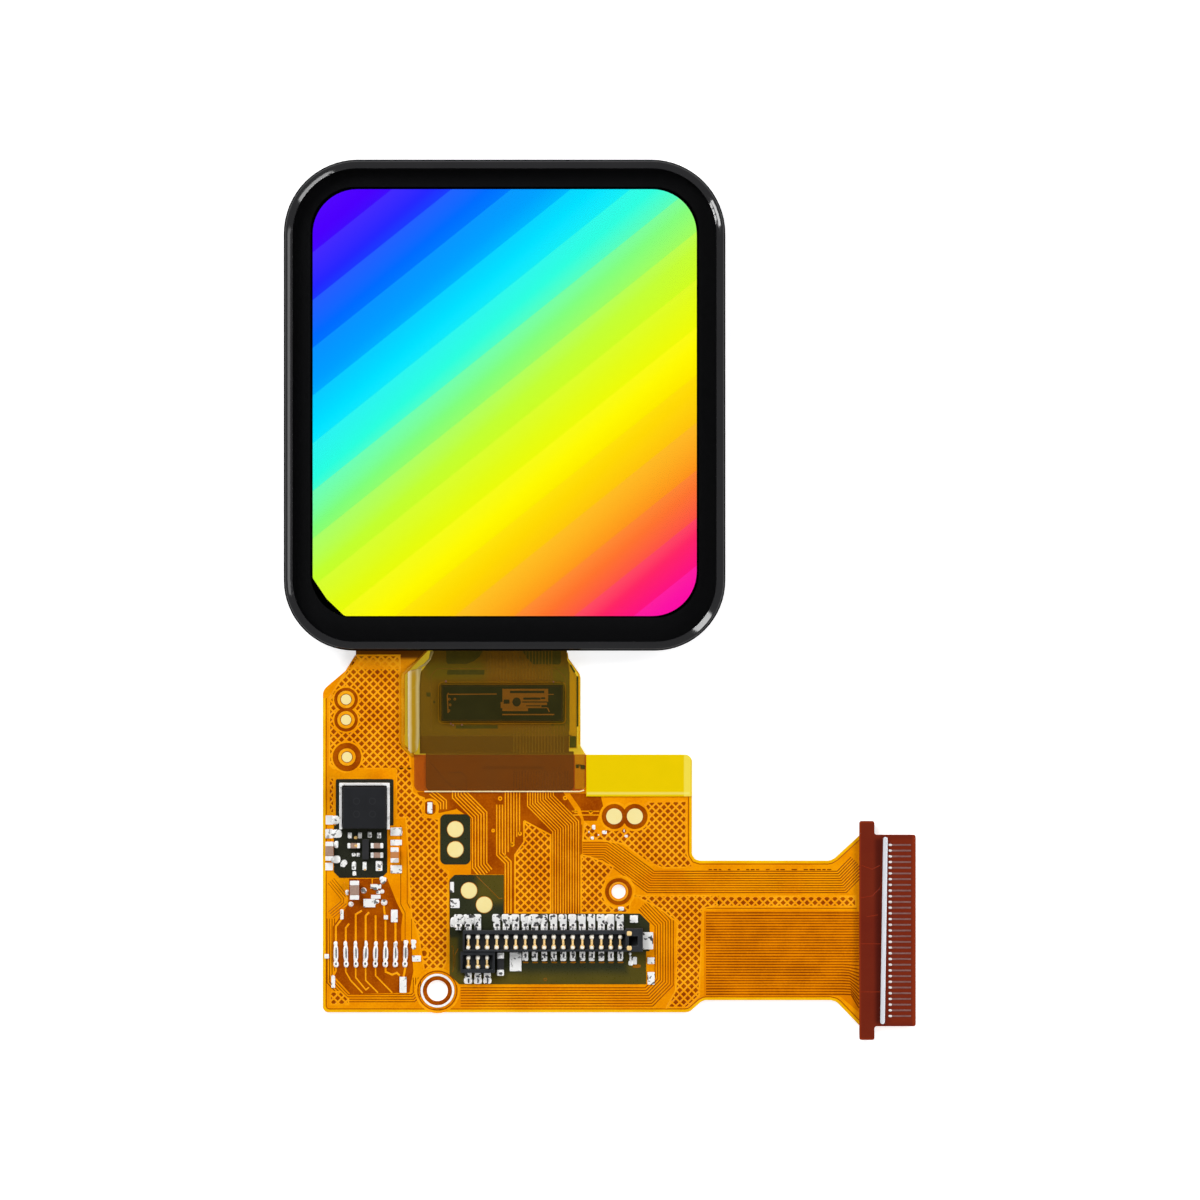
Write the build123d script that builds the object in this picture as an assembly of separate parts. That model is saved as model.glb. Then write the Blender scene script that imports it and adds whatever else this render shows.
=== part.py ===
from build123d import *
import os

# A small display module that lies on its back.
# Sizes are in millimetres. X points right, Y up the panel and Z out of the screen.
# The origin is at the middle of the cover glass outline, on the plane that the back pad rests on.
# Places on the films are given as (u, v): u to the right of the film's left edge and v down from
# the lower edge of the cover glass.

# Cover glass
GLASS_WIDTH = 23.2
GLASS_HEIGHT = 25.8
GLASS_THICKNESS = 0.8
GLASS_TOP_RADIUS = 3.9
GLASS_LOWER_RADIUS = 3.7
GLASS_FRONT_ROUND = 0.5
GLASS_BACK_CHAMFER = 0.1

# Layers of the panel, from the back to the glass
BACK_PAD_THICKNESS = 0.15
SUBSTRATE_THICKNESS = 0.25
EMITTER_THICKNESS = 0.02
ENCAPSULATION_THICKNESS = 0.25
POLARIZER_THICKNESS = 0.12
ADHESIVE_THICKNESS = 0.15
INK_THICKNESS = 0.02

# Edges of the layers
PANEL_INSET = 0.6
LEDGE_WIDTH = 0.75
BACK_PAD_INSET = 0.3
POLARIZER_INSET = 0.15
INK_INSET = 0.1
WINDOW_MARGIN = 0.1
LIT_SIDE_BORDER = 1.5
LIT_TOP_BORDER = 1.53
LIT_LOWER_BORDER = 1.82
LIT_CORNER_RADIUS = 2.35
LIT_CUT_WIDTH = 1.68
LIT_CUT_HEIGHT = 2.0
LIT_CUT_BULGE = 0.1
SEAL_GAP = 0.12
SEAL_INSET = 0.05

# Main circuit film
FILM_THICKNESS = 0.12
REAR_STIFFENER_THICKNESS = 0.1
FILM_LEFT = -9.57
ARM_WIDTH = 4.22
FILM_CORNER = 0.3
BOND_LENGTH = 0.6
TAB_LEFT = 1.74
TAB_RIGHT = 5.37
TAB_SHOULDER = 0.6
ARM_SHOULDER = 2.07
ARM_NOTCH = 1.21
NOTCH_CORNER = 0.3
BOARD_TOP = 5.47
BOARD_CORNER = 0.37
BOARD_STEP = 0.45
BOARD_MARGIN = 1.48
FOOT_STEP = 0.58
FOOT_RISE = 0.64
FOOT_RUN = 0.73
TAIL_DROP = 5.58
TAIL_LENGTH = 8.8
TAIL_FILLET = 0.42
TOP_FLARE = 1.43
LOWER_FLARE = 1.27
FLARE_RADIUS = 0.6
FOLD_START = 0.2
FOLD_END = 1.5
FOLD_RADIUS = 0.8

# Locating holes in the film
LARGE_HOLE_RADIUS = 0.55
LARGE_HOLE_GAP = 1.34
LARGE_HOLE_RISE = 1.14
LARGE_RING_GAP = 0.22
LARGE_RING_WIDTH = 0.12
SMALL_HOLE_RADIUS = 0.37
SMALL_HOLE_BACK = 1.27
SMALL_HOLE_RISE = 2.02
SMALL_RING_GAP = 0.05
SMALL_RING_WIDTH = 0.09
RING_THICKNESS = 0.05

# Driver film, its chip and the tape over it
DRIVER_FILM_THICKNESS = 0.05
DRIVER_FILM_GAP = 0.05
DRIVER_FILM_WIDTH = 7.53
DRIVER_NECK_LEFT_STEP = 0.37
DRIVER_NECK_RIGHT_STEP = 0.1
DRIVER_NECK_LENGTH = 0.4
DRIVER_SHOULDER = 0.9
DRIVER_FOOT_STEP = 0.25
DRIVER_LAP = 1.88
DRIVER_CORNER = 0.25
DROP_GAP = 0.17
DROP_RUN = 1.0
TAPE_THICKNESS = 0.05
TAPE_LAP = 0.05
TAPE_START = 0.35
TAPE_GAP = 0.05
TAPE_OVERHANG = 0.61
TAPE_FOOT_OVERHANG = 0.88
TAPE_FOOT_STEP = 0.58
TAPE_SHOULDER = 1.3
TAPE_NECK = 0.37
TAPE_CORNER = 0.35
CHIP_LENGTH = 6.2
CHIP_WIDTH = 1.7
CHIP_HEIGHT = 0.25
CHIP_OFFSET = 0.25
CHIP_GAP = 0.7
RESIN_WIDTH = 0.1
RESIN_HEIGHT = 0.1
RESIN_CHAMFER = 0.08
BLISTER_GAP = 0.15
BLISTER_CORNER = 0.16
BLISTER_TAPER = 20
YELLOW_TAPE_THICKNESS = 0.08
YELLOW_TAPE_WIDTH = 5.56
YELLOW_TAPE_DROP = 2.2
YELLOW_TAPE_GAP = 0.03

# Tail end
STIFFENER_THICKNESS = 0.2
STIFFENER_WIDTH = 2.97
STIFFENER_CORNER = 0.12
EAR_WIDTH = 0.8
EAR_HEIGHT = 0.72
FILM_END_INSET = 0.05
CONTACT_COUNT = 31
CONTACT_PITCH = 0.3
CONTACT_WIDTH = 0.09
CONTACT_LENGTH = 1.19
CONTACT_THICKNESS = 0.02
CONTACT_EDGE = 0.25
CONTACT_MARGIN = 0.54
BAR_WIDTH = 0.24
BAR_HEIGHT = 0.15
BAR_OVERHANG = 0.42
BAR_GAP = 0.11
BAR_TILT = 0.9
BAR_CHAMFER = 0.06

# Board connector
CONNECTOR_GAP = 3.025
CONNECTOR_DROP = 9.23
HOUSING_DEPTH = 1.12
HOUSING_HEIGHT = 0.7
HOUSING_WALL = 0.1
HOUSING_RAIL = 0.2
SLOT_DEPTH = 0.35
END_BLOCK_LENGTH = 0.9
END_BLOCK_STEP = 0.1
NOTCH_LENGTH = 0.48
NOTCH_DEPTH = 0.5
NOTCH_LEFT = 0.16
WAY_COUNT = 17
WAY_PITCH = 0.5
FIRST_WAY = 0.28
WAY_WIDTH = 0.16
WAY_GAP = 0.03
WAY_HUMP = 0.12
WAY_STRIP = 0.06
TAIL_WIDTH = 0.36
UPPER_TAIL_LENGTH = 0.78
LOWER_TAIL_WIDTH = 0.3
LOWER_TAIL_LENGTH = 0.5
TAIL_FOOT = 0.1
TAIL_RISE = 0.32
TAIL_LEG = 0.14
SKIPPED_WAY = 2
FIRST_LOWER_WAY = 6
ANCHOR_LENGTH = 0.55
ANCHOR_WIDTH = 0.9
ANCHOR_HEIGHT = 0.3

# Side connector, chip resistor and ground pad below the board connector
SIDE_DEPTH = 1.12
SIDE_HEIGHT = 0.6
SIDE_WAYS = 3
SIDE_MARGIN = 0.4
SIDE_WALL = 0.18
SIDE_TAIL_LENGTH = 0.58
RESISTOR_LENGTH = 1.22
RESISTOR_WIDTH = 0.36
RESISTOR_HEIGHT = 0.3
RESISTOR_END = 0.32
RESISTOR_GAP = 0.12
RESISTOR_DROP = 0.06
GROUND_PAD_WIDTH = 0.62
GROUND_PAD_LENGTH = 1.0
GROUND_PAD_GAP = 0.3
GROUND_PAD_DROP = 0.05

# Dark mask patches, and the plates behind them
MASK_THICKNESS = 0.02
MASK_GAP = 0.03
MASK_CORNER = 0.1
MASK_LEFT_MARGIN = 0.7
MASK_RIGHT_MARGIN = 0.36
MASK_TOP_MARGIN = 0.86
MASK_LOWER_MARGIN = 1.73
MASK_CUT = 0.5
MASK_NOTCH = 0.18
WING_WIDTH = 2.85
WING_HEIGHT = 2.04
WING_CUT = 0.26
POWER_MASK_MARGIN = 0.19
POWER_MASK_STEP = 0.95
POWER_MASK_DROP = 3.7
POWER_MASK_LEFT_STEP = 0.1
POWER_MASK_RIGHT_STEP = 0.33
POWER_MASK_CUT = 0.3
REAR_MARGIN = 0.15
REAR_CORNER = 0.3

# Test pads
PAD_THICKNESS = 0.04
PAD_RADIUS = 0.42
SMALL_PAD_RADIUS = 0.27
PAD_RING_GAP = 0.03
PAD_RING_WIDTH = 0.16
PAIR_BACK = 0.4
PAIR_DROP = 4.46
PAIR_PITCH = 1.06
PAIR_MARGIN = 0.37
PAIR_CORNER = 0.29
OPEN_PAD_PITCH = 1.09
OPEN_PAD_BACK = 3.0
OPEN_PAD_DROP = 3.25

# Power section
POWER_U = 2.2
POWER_DROP = 2.78
POWER_CHIP_WIDTH = 2.25
POWER_CHIP_DEPTH = 2.2
POWER_CHIP_HEIGHT = 0.7
POWER_CHIP_ROUND = 0.05
CLIP_GAP = 0.05
CLIP_WALL = 0.15
CLIP_HEIGHT = 0.5
CLIP_POST = 0.22
REGULATOR_WIDTH = 0.34
REGULATOR_DEPTH = 1.06
REGULATOR_HEIGHT = 0.3
REGULATOR_RIGHT = 0.05
REGULATOR_DROP = 2.2
CAPACITOR_END = 0.24
SMALL_CAPACITOR_END = 0.16
LAND_THICKNESS = 0.06
BIT_THICKNESS = 0.12
BALL_HEIGHT = 0.8
BALL_TOP = 0.55

# Row of solder joints
JOINT_COUNT = 8
JOINT_PITCH = 0.523
JOINT_WIDTH = 0.29
JOINT_LENGTH = 1.4
JOINT_HEIGHT = 0.16
JOINT_U = 0.684
JOINT_DROP = 7.72
JOINT_CHAMFER = 0.08

# Places of small parts, as (u, v) from the middle of the power chip
SIDE_CAPACITORS = [(-1.85, 2.3, 1.0, 0.42, 0.4, 90), (1.58, 2.5, 0.8, 0.42, 0.4, 90)]
LOWER_CAPACITORS = [(-0.53, 4.35, 1.0, 0.48, 0.45, 90)]
MASKED_CAPACITORS = [(-0.57, 2.01, 0.66, 0.28, 0.25, 0), (0.65, 2.01, 0.66, 0.28, 0.25, 0)]
MASKED_CAPACITORS += [(0.65, 2.51, 0.66, 0.28, 0.25, 0)]
CHIP_PADS = [(-0.78, 1.47, 0.21, 0.3), (-0.25, 1.47, 0.21, 0.3), (0.27, 1.43, 0.21, 0.3)]
CHIP_PADS += [(0.76, 1.47, 0.21, 0.3), (-0.58, 2.49, 0.18, 0.18), (-0.33, 2.49, 0.18, 0.2)]
CHIP_PADS += [(-0.56, 3.08, 0.22, 0.4), (-0.54, 3.47, 0.2, 0.22), (0.0, 3.08, 0.21, 0.44)]
CHIP_PADS += [(0.76, 3.08, 0.35, 0.52)]
SIDE_PADS = [(-1.85, 0.66, 0.4, 0.48), (-1.87, 1.38, 0.4, 0.48), (-1.87, 3.11, 0.4, 0.4)]
SIDE_PADS += [(1.66, 1.27, 0.6, 0.44), (1.66, 1.85, 0.6, 0.3), (1.66, 3.25, 0.6, 0.42)]
SOLDER_BITS = [(0.25, 5.03, 0.62, 0.44), (0.59, 4.15, 0.56, 0.22), (0.59, 4.7, 0.5, 0.2)]
SOLDER_BITS += [(1.12, 5.78, 0.22, 0.22)]
SOLDER_BALLS = [(-0.05, 4.37, 0.16), (-0.72, 5.09, 0.14), (1.03, 5.0, 0.17), (0.92, 4.42, 0.12)]
SOLDER_BALLS += [(0.95, 3.91, 0.13)]
MASKED_BALLS = [(-1.07, 2.91, 0.16)]

# Places of pads from the first joint, the last joint, the pads of the arm and the connector
FIRST_JOINT_PADS = [(0.32, -2.09, 0.17, 0.53), (-0.48, 0.11, 0.24, 0.24), (-0.14, 1.45, 0.2, 0.63)]
LAST_JOINT_PADS = [(-0.585, -2.01, 0.36, 0.66), (0.425, -0.53, 0.2, 0.45), (0.585, 0.23, 0.46, 0.32)]
LAST_JOINT_PADS += [(-0.125, 1.61, 0.37, 0.84)]
ARM_PADS = [(1.22, 0.5), (1.22, 1.57), (1.27, 3.53)]
SLOT_PAD = (-1.34, -1.66, 0.26, 0.58)
HOLE_MARK = (0.13, 0.9, 0.3, 0.2)
CORNER_PADS = [(0.32, -2.08), (1.12, -1.33)]
CORNER_LANDS = [(-0.57, -2.25, 0.2, 0.56), (-0.41, -1.4, 0.48, 0.48)]
END_LANDS = [(-0.46, -0.58, 0.42, 0.4), (-0.42, 1.61, 0.22, 0.4)]
EDGE_LANDS = [(0.44, 1.61, 0.38, 0.35), (0.44, 2.54, 0.38, 0.66)]

# Values that follow from the sizes above
GLASS_LOWER_EDGE = -GLASS_HEIGHT / 2
SUBSTRATE_BASE = BACK_PAD_THICKNESS
LEDGE_TOP = SUBSTRATE_BASE + SUBSTRATE_THICKNESS
ENCAPSULATION_BASE = LEDGE_TOP + EMITTER_THICKNESS
POLARIZER_BASE = ENCAPSULATION_BASE + ENCAPSULATION_THICKNESS
ADHESIVE_BASE = POLARIZER_BASE + POLARIZER_THICKNESS
GLASS_BASE = ADHESIVE_BASE + ADHESIVE_THICKNESS
FILM_BASE = REAR_STIFFENER_THICKNESS
FILM_TOP = FILM_BASE + FILM_THICKNESS
MASK_TOP = FILM_TOP + MASK_THICKNESS
STIFFENER_TOP = FILM_TOP + STIFFENER_THICKNESS
DRIVER_TOP = LEDGE_TOP + DRIVER_FILM_THICKNESS
BOND_END = -(PANEL_INSET + BOND_LENGTH)
DROP_END = BOARD_TOP - DROP_GAP
DROP_START = DROP_END - DROP_RUN
DRIVER_LEFT = TAB_RIGHT + DRIVER_FILM_GAP
DRIVER_RIGHT = DRIVER_LEFT + DRIVER_FILM_WIDTH
DRIVER_FOOT = BOARD_TOP + DRIVER_LAP
CHIP_U = (DRIVER_LEFT + DRIVER_RIGHT) / 2 + CHIP_OFFSET
CHIP_V = DROP_START - CHIP_GAP - CHIP_WIDTH / 2
TAPE_FOOT_RIGHT = DRIVER_RIGHT + TAPE_FOOT_OVERHANG
BOARD_RIGHT = TAPE_FOOT_RIGHT + YELLOW_TAPE_GAP + YELLOW_TAPE_WIDTH
POWER_V = BOARD_TOP + POWER_DROP
JOINT_V = POWER_V + JOINT_DROP
LAST_JOINT_U = JOINT_U + JOINT_PITCH * (JOINT_COUNT - 1)
HOUSING_LEFT = LAST_JOINT_U + CONNECTOR_GAP
HOUSING_LENGTH = 2 * FIRST_WAY + WAY_PITCH * (WAY_COUNT - 1) + END_BLOCK_LENGTH
HOUSING_RIGHT = HOUSING_LEFT + HOUSING_LENGTH
HOUSING_TOP = BOARD_TOP + CONNECTOR_DROP
HOUSING_BOTTOM = HOUSING_TOP + HOUSING_DEPTH
SIDE_LEFT = HOUSING_LEFT + FIRST_WAY - SIDE_MARGIN
SIDE_RIGHT = HOUSING_LEFT + FIRST_WAY + WAY_PITCH * (SIDE_WAYS - 1) + SIDE_MARGIN
FILM_LENGTH = HOUSING_BOTTOM + MASK_LOWER_MARGIN + BOARD_MARGIN
LARGE_HOLE = (HOUSING_LEFT - LARGE_HOLE_GAP, FILM_LENGTH - LARGE_HOLE_RISE)
SMALL_HOLE = (HOUSING_RIGHT - SMALL_HOLE_BACK, HOUSING_TOP - SMALL_HOLE_RISE)
TAIL_TOP = BOARD_TOP + TAIL_DROP
TAIL_BOTTOM = FILM_LENGTH - FOOT_RISE
TAIL_MIDDLE = (TAIL_TOP + TAIL_BOTTOM) / 2
CONTACT_SPAN = CONTACT_PITCH * (CONTACT_COUNT - 1)
STIFFENER_SPAN = CONTACT_SPAN + 2 * CONTACT_MARGIN
STIFFENER_LEFT = BOARD_RIGHT + TAIL_LENGTH
STIFFENER_RIGHT = STIFFENER_LEFT + STIFFENER_WIDTH
REACH = 100.0


def place(u, v):
    """The x and y of a place on the films."""
    return FILM_LEFT + u, GLASS_LOWER_EDGE - v


def outline_face(corners):
    """A flat face from (x, y, corner radius) corners."""
    points = [(x, y) for x, y, _ in corners]
    radii = [r for _, _, r in corners]
    return make_face(FilletPolyline(*points, radius=radii, close=True))


def plate(corners, base, thickness):
    """A plate with rounded corners, given in x and y."""
    return Pos(0, 0, base) * extrude(outline_face(corners), amount=thickness, dir=(0, 0, 1))


def film_plate(corners, base, thickness):
    """A plate whose corners are given as (u, v, radius) on the films."""
    return plate([(*place(u, v), r) for u, v, r in corners], base, thickness)


def block(u, v, width, depth, base, height):
    """An upright box with its middle at a place on the films."""
    x, y = place(u, v)
    return Pos(x, y, base + height / 2) * Box(width, depth, height)


def disc(u, v, radius, base, height):
    """An upright round disc at a place on the films."""
    x, y = place(u, v)
    return Pos(x, y, base + height / 2) * Cylinder(radius, height)


def ring(u, v, inner, width, base, height):
    """A flat ring at a place on the films."""
    return disc(u, v, inner + width, base, height) - disc(u, v, inner, base, height)


def screen_corners(side, top, lower, top_radius, lower_radius):
    """Corners of an upright outline that lies inside the glass by the given borders."""
    right = GLASS_WIDTH / 2 - side
    upper = GLASS_HEIGHT / 2 - top
    bottom = -GLASS_HEIGHT / 2 + lower
    return [
        (-right, upper, top_radius),
        (right, upper, top_radius),
        (right, bottom, lower_radius),
        (-right, bottom, lower_radius),
    ]


def inset_corners(inset):
    """The glass outline, drawn in by an inset on every side."""
    top_radius = GLASS_TOP_RADIUS - inset
    return screen_corners(inset, inset, inset, top_radius, GLASS_LOWER_RADIUS - inset)


def lit_corners():
    """The lit area: three round corners and one that is cut off in two short straights."""
    right = GLASS_WIDTH / 2 - LIT_SIDE_BORDER
    upper = GLASS_HEIGHT / 2 - LIT_TOP_BORDER
    bottom = -GLASS_HEIGHT / 2 + LIT_LOWER_BORDER
    middle_x = -right + LIT_CUT_WIDTH / 2 - LIT_CUT_BULGE
    middle_y = bottom + LIT_CUT_HEIGHT / 2 - LIT_CUT_BULGE
    return [
        (-right, upper, LIT_CORNER_RADIUS),
        (right, upper, LIT_CORNER_RADIUS),
        (right, bottom, LIT_CORNER_RADIUS),
        (-right + LIT_CUT_WIDTH, bottom, 0.3),
        (middle_x, middle_y, 0.8),
        (-right, bottom + LIT_CUT_HEIGHT, 0.3),
    ]


def above_ledge(solid, inset):
    """Keeps what lies above the bonding ledge of the panel."""
    edge = GLASS_LOWER_EDGE + PANEL_INSET + LEDGE_WIDTH + inset
    return solid & Pos(0, edge + REACH / 2, 0) * Box(REACH, REACH, REACH)


# Panel
def make_cover_glass():
    """Front glass with a rounded front edge and a small chamfer behind."""
    glass = plate(inset_corners(0), GLASS_BASE, GLASS_THICKNESS)
    glass = fillet(glass.faces().sort_by(Axis.Z)[-1].edges(), GLASS_FRONT_ROUND)
    return chamfer(glass.faces().sort_by(Axis.Z)[0].edges(), GLASS_BACK_CHAMFER)


def make_border_ink():
    """Printed frame behind the glass, with the window that shows the lit area."""
    side = LIT_SIDE_BORDER - WINDOW_MARGIN
    top = LIT_TOP_BORDER - WINDOW_MARGIN
    lower = LIT_LOWER_BORDER - WINDOW_MARGIN
    window = screen_corners(side, top, lower, LIT_CORNER_RADIUS, LIT_CORNER_RADIUS)
    base = GLASS_BASE - INK_THICKNESS
    frame = plate(inset_corners(GLASS_BACK_CHAMFER + INK_INSET), base, INK_THICKNESS)
    return frame - plate(window, base, INK_THICKNESS)


def make_polarizer_film():
    """Polarizer, drawn in from the panel's edge."""
    film = plate(inset_corners(PANEL_INSET + POLARIZER_INSET), POLARIZER_BASE, POLARIZER_THICKNESS)
    return above_ledge(film, POLARIZER_INSET)


def make_optical_adhesive(ink):
    """Clear adhesive that fills the space between polarizer, ink and glass."""
    sheet = plate(inset_corners(PANEL_INSET + POLARIZER_INSET), ADHESIVE_BASE, ADHESIVE_THICKNESS)
    return above_ledge(sheet, POLARIZER_INSET) - ink


def make_encapsulation_glass():
    """Upper panel glass, shorter than the lower one by the ledge."""
    sheet = plate(inset_corners(PANEL_INSET), ENCAPSULATION_BASE, ENCAPSULATION_THICKNESS)
    return above_ledge(sheet, 0)


def make_emitting_layer():
    """Thin layer of pixels."""
    return plate(lit_corners(), LEDGE_TOP, EMITTER_THICKNESS)


def make_seal_ring():
    """Seal between the two panel glasses, round the pixels."""
    side = LIT_SIDE_BORDER - SEAL_GAP
    top = LIT_TOP_BORDER - SEAL_GAP
    lower = LIT_LOWER_BORDER - SEAL_GAP
    radius = LIT_CORNER_RADIUS
    opening = screen_corners(side, top, lower, radius, radius)
    seal = plate(inset_corners(PANEL_INSET + SEAL_INSET), LEDGE_TOP, EMITTER_THICKNESS)
    return above_ledge(seal, SEAL_INSET) - plate(opening, LEDGE_TOP, EMITTER_THICKNESS)


def make_panel_substrate():
    """Lower panel glass, with the ledge that the films are bonded to."""
    return plate(inset_corners(PANEL_INSET), SUBSTRATE_BASE, SUBSTRATE_THICKNESS)


def make_back_pad():
    """Soft pad behind the panel."""
    return plate(inset_corners(PANEL_INSET + BACK_PAD_INSET), 0, BACK_PAD_THICKNESS)


# Films and tapes
def draped_sheet(corners, route, lift, thickness):
    """A sheet that follows a route of (v, z) points and is cut to an outline of (u, v, radius)."""
    points = [(GLASS_LOWER_EDGE - v, z + lift) for v, z in route]
    lower = Plane.YZ * FilletPolyline(*points, radius=FOLD_RADIUS)
    upper = Pos(0, 0, thickness) * lower
    first = Line(lower @ 0, upper @ 0)
    last = Line(lower @ 1, upper @ 1)
    section = make_face(lower.edges() + upper.edges() + first.edges() + last.edges())
    band = extrude(section, amount=REACH, both=True)
    return band & film_plate(corners, 0, LEDGE_TOP + lift + thickness)


def film_corners():
    """Outline of the main circuit film: arm, board, foot and tail."""
    end_top = TAIL_MIDDLE - STIFFENER_SPAN / 2 + FILM_END_INSET
    end_bottom = TAIL_MIDDLE + STIFFENER_SPAN / 2 - FILM_END_INSET
    end_right = STIFFENER_RIGHT - FILM_END_INSET
    foot_right = BOARD_RIGHT + FOOT_STEP
    return [
        (TAB_LEFT, BOND_END, 0),
        (TAB_LEFT, TAB_SHOULDER, 0.4),
        (0, ARM_SHOULDER, 0.6),
        (0, FILM_LENGTH, FILM_CORNER),
        (foot_right - FOOT_RUN, FILM_LENGTH, 0.5),
        (foot_right, TAIL_BOTTOM, 0.5),
        (STIFFENER_LEFT - LOWER_FLARE, TAIL_BOTTOM, FLARE_RADIUS),
        (STIFFENER_LEFT, end_bottom, 0.05),
        (end_right, end_bottom, STIFFENER_CORNER),
        (end_right, end_top, STIFFENER_CORNER),
        (STIFFENER_LEFT, end_top, 0.05),
        (STIFFENER_LEFT - TOP_FLARE, TAIL_TOP, FLARE_RADIUS),
        (BOARD_RIGHT, TAIL_TOP, TAIL_FILLET),
        (BOARD_RIGHT, BOARD_TOP, BOARD_CORNER),
        (ARM_WIDTH + BOARD_STEP, BOARD_TOP, 0.2),
        (ARM_WIDTH, BOARD_TOP - BOARD_STEP, 0.2),
        (ARM_WIDTH, ARM_NOTCH, NOTCH_CORNER),
        (TAB_RIGHT, 0, 0.2),
        (TAB_RIGHT, BOND_END, 0),
    ]


def make_circuit_film():
    """Main circuit film, flat but for its tab, which rises to the ledge of the panel."""
    route = [(BOND_END, LEDGE_TOP), (FOLD_START, LEDGE_TOP), (FOLD_END, FILM_BASE), (REACH, FILM_BASE)]
    film = draped_sheet(film_corners(), route, 0, FILM_THICKNESS)
    film -= disc(*LARGE_HOLE, LARGE_HOLE_RADIUS, 0, LEDGE_TOP)
    return film - disc(*SMALL_HOLE, SMALL_HOLE_RADIUS, 0, LEDGE_TOP)


def driver_route():
    """Route of the driver film, from the ledge down to the circuit film."""
    return [(BOND_END, LEDGE_TOP), (DROP_START, LEDGE_TOP), (DROP_END, FILM_TOP), (REACH, FILM_TOP)]


def make_driver_film():
    """Thin film with a neck at the panel and a foot on the circuit film."""
    neck_left = DRIVER_LEFT + DRIVER_NECK_LEFT_STEP
    neck_right = DRIVER_RIGHT - DRIVER_NECK_RIGHT_STEP
    foot_right = DRIVER_RIGHT + DRIVER_FOOT_STEP
    corners = [
        (neck_left, BOND_END, 0),
        (neck_left, DRIVER_NECK_LENGTH, DRIVER_CORNER),
        (DRIVER_LEFT, DRIVER_SHOULDER, DRIVER_CORNER),
        (DRIVER_LEFT, DRIVER_FOOT, DRIVER_CORNER),
        (foot_right, DRIVER_FOOT, DRIVER_CORNER),
        (foot_right, DROP_END, 0),
        (DRIVER_RIGHT, DROP_END, 0),
        (DRIVER_RIGHT, DRIVER_SHOULDER, DRIVER_CORNER),
        (neck_right, DRIVER_NECK_LENGTH, 0),
        (neck_right, BOND_END, 0),
    ]
    return draped_sheet(corners, driver_route(), 0, DRIVER_FILM_THICKNESS)


def make_driver_chip():
    """Long thin chip on the driver film."""
    return block(CHIP_U, CHIP_V, CHIP_LENGTH, CHIP_WIDTH, DRIVER_TOP, CHIP_HEIGHT)


def make_chip_resin(chip):
    """Bead of resin round the foot of the chip, thinner towards its outer edge."""
    length = CHIP_LENGTH + 2 * RESIN_WIDTH
    width = CHIP_WIDTH + 2 * RESIN_WIDTH
    bead = block(CHIP_U, CHIP_V, length, width, DRIVER_TOP, RESIN_HEIGHT)
    bead = chamfer(bead.faces().sort_by(Axis.Z)[-1].edges(), RESIN_CHAMFER)
    return bead - chip


def blister(gap, height):
    """Raised form over the chip, with leaning sides."""
    x, y = place(CHIP_U, CHIP_V)
    length = CHIP_LENGTH + 2 * gap
    width = CHIP_WIDTH + 2 * gap
    foot = RectangleRounded(length, width, BLISTER_CORNER)
    return Pos(x, y, DRIVER_TOP) * extrude(foot, amount=height, taper=BLISTER_TAPER)


def make_cover_tape():
    """Clear tape over the driver film, raised over the chip."""
    foot = DRIVER_FOOT + TAPE_LAP
    left = ARM_WIDTH + TAPE_GAP
    top_left = TAB_RIGHT + TAPE_GAP
    right = DRIVER_RIGHT + TAPE_OVERHANG
    neck = DRIVER_RIGHT - DRIVER_NECK_RIGHT_STEP
    corners = [
        (top_left, -TAPE_START, 0),
        (top_left, TAPE_GAP, 0.2),
        (left, ARM_NOTCH + TAPE_GAP, NOTCH_CORNER),
        (left, BOARD_TOP - BOARD_STEP, 0.2),
        (left - TAPE_GAP + TAPE_FOOT_STEP, BOARD_TOP, 0.2),
        (left - TAPE_GAP + TAPE_FOOT_STEP, foot, TAPE_CORNER),
        (TAPE_FOOT_RIGHT, foot, TAPE_CORNER),
        (TAPE_FOOT_RIGHT, BOARD_TOP, 0.1),
        (right, BOARD_TOP - BOARD_STEP, 0.2),
        (right, TAPE_SHOULDER, 0.5),
        (neck, TAPE_NECK, 0.3),
        (neck, -TAPE_START, 0),
    ]
    sheet = draped_sheet(corners, driver_route(), DRIVER_FILM_THICKNESS, TAPE_THICKNESS)
    outer = blister(BLISTER_GAP + TAPE_THICKNESS, CHIP_HEIGHT + TAPE_THICKNESS)
    return sheet + outer - blister(BLISTER_GAP, CHIP_HEIGHT)


def make_yellow_tape():
    """Strip of tape at the right of the bonded zone."""
    left = TAPE_FOOT_RIGHT + YELLOW_TAPE_GAP
    bottom = BOARD_TOP + YELLOW_TAPE_DROP
    corners = [
        (left, BOARD_TOP, 0),
        (BOARD_RIGHT, BOARD_TOP, BOARD_CORNER),
        (BOARD_RIGHT, bottom, 0),
        (left, bottom, 0),
    ]
    return film_plate(corners, FILM_TOP, YELLOW_TAPE_THICKNESS)


# Tail end
def make_tail_stiffener():
    """T-shaped plate with an ear above and below."""
    inner = STIFFENER_LEFT + EAR_WIDTH
    top = TAIL_MIDDLE - STIFFENER_SPAN / 2
    bottom = TAIL_MIDDLE + STIFFENER_SPAN / 2
    outline = [
        (STIFFENER_LEFT, top - EAR_HEIGHT),
        (inner, top - EAR_HEIGHT),
        (inner, top),
        (STIFFENER_RIGHT, top),
        (STIFFENER_RIGHT, bottom),
        (inner, bottom),
        (inner, bottom + EAR_HEIGHT),
        (STIFFENER_LEFT, bottom + EAR_HEIGHT),
    ]
    corners = [(u, v, STIFFENER_CORNER) for u, v in outline]
    return film_plate(corners, FILM_TOP, STIFFENER_THICKNESS)


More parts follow.
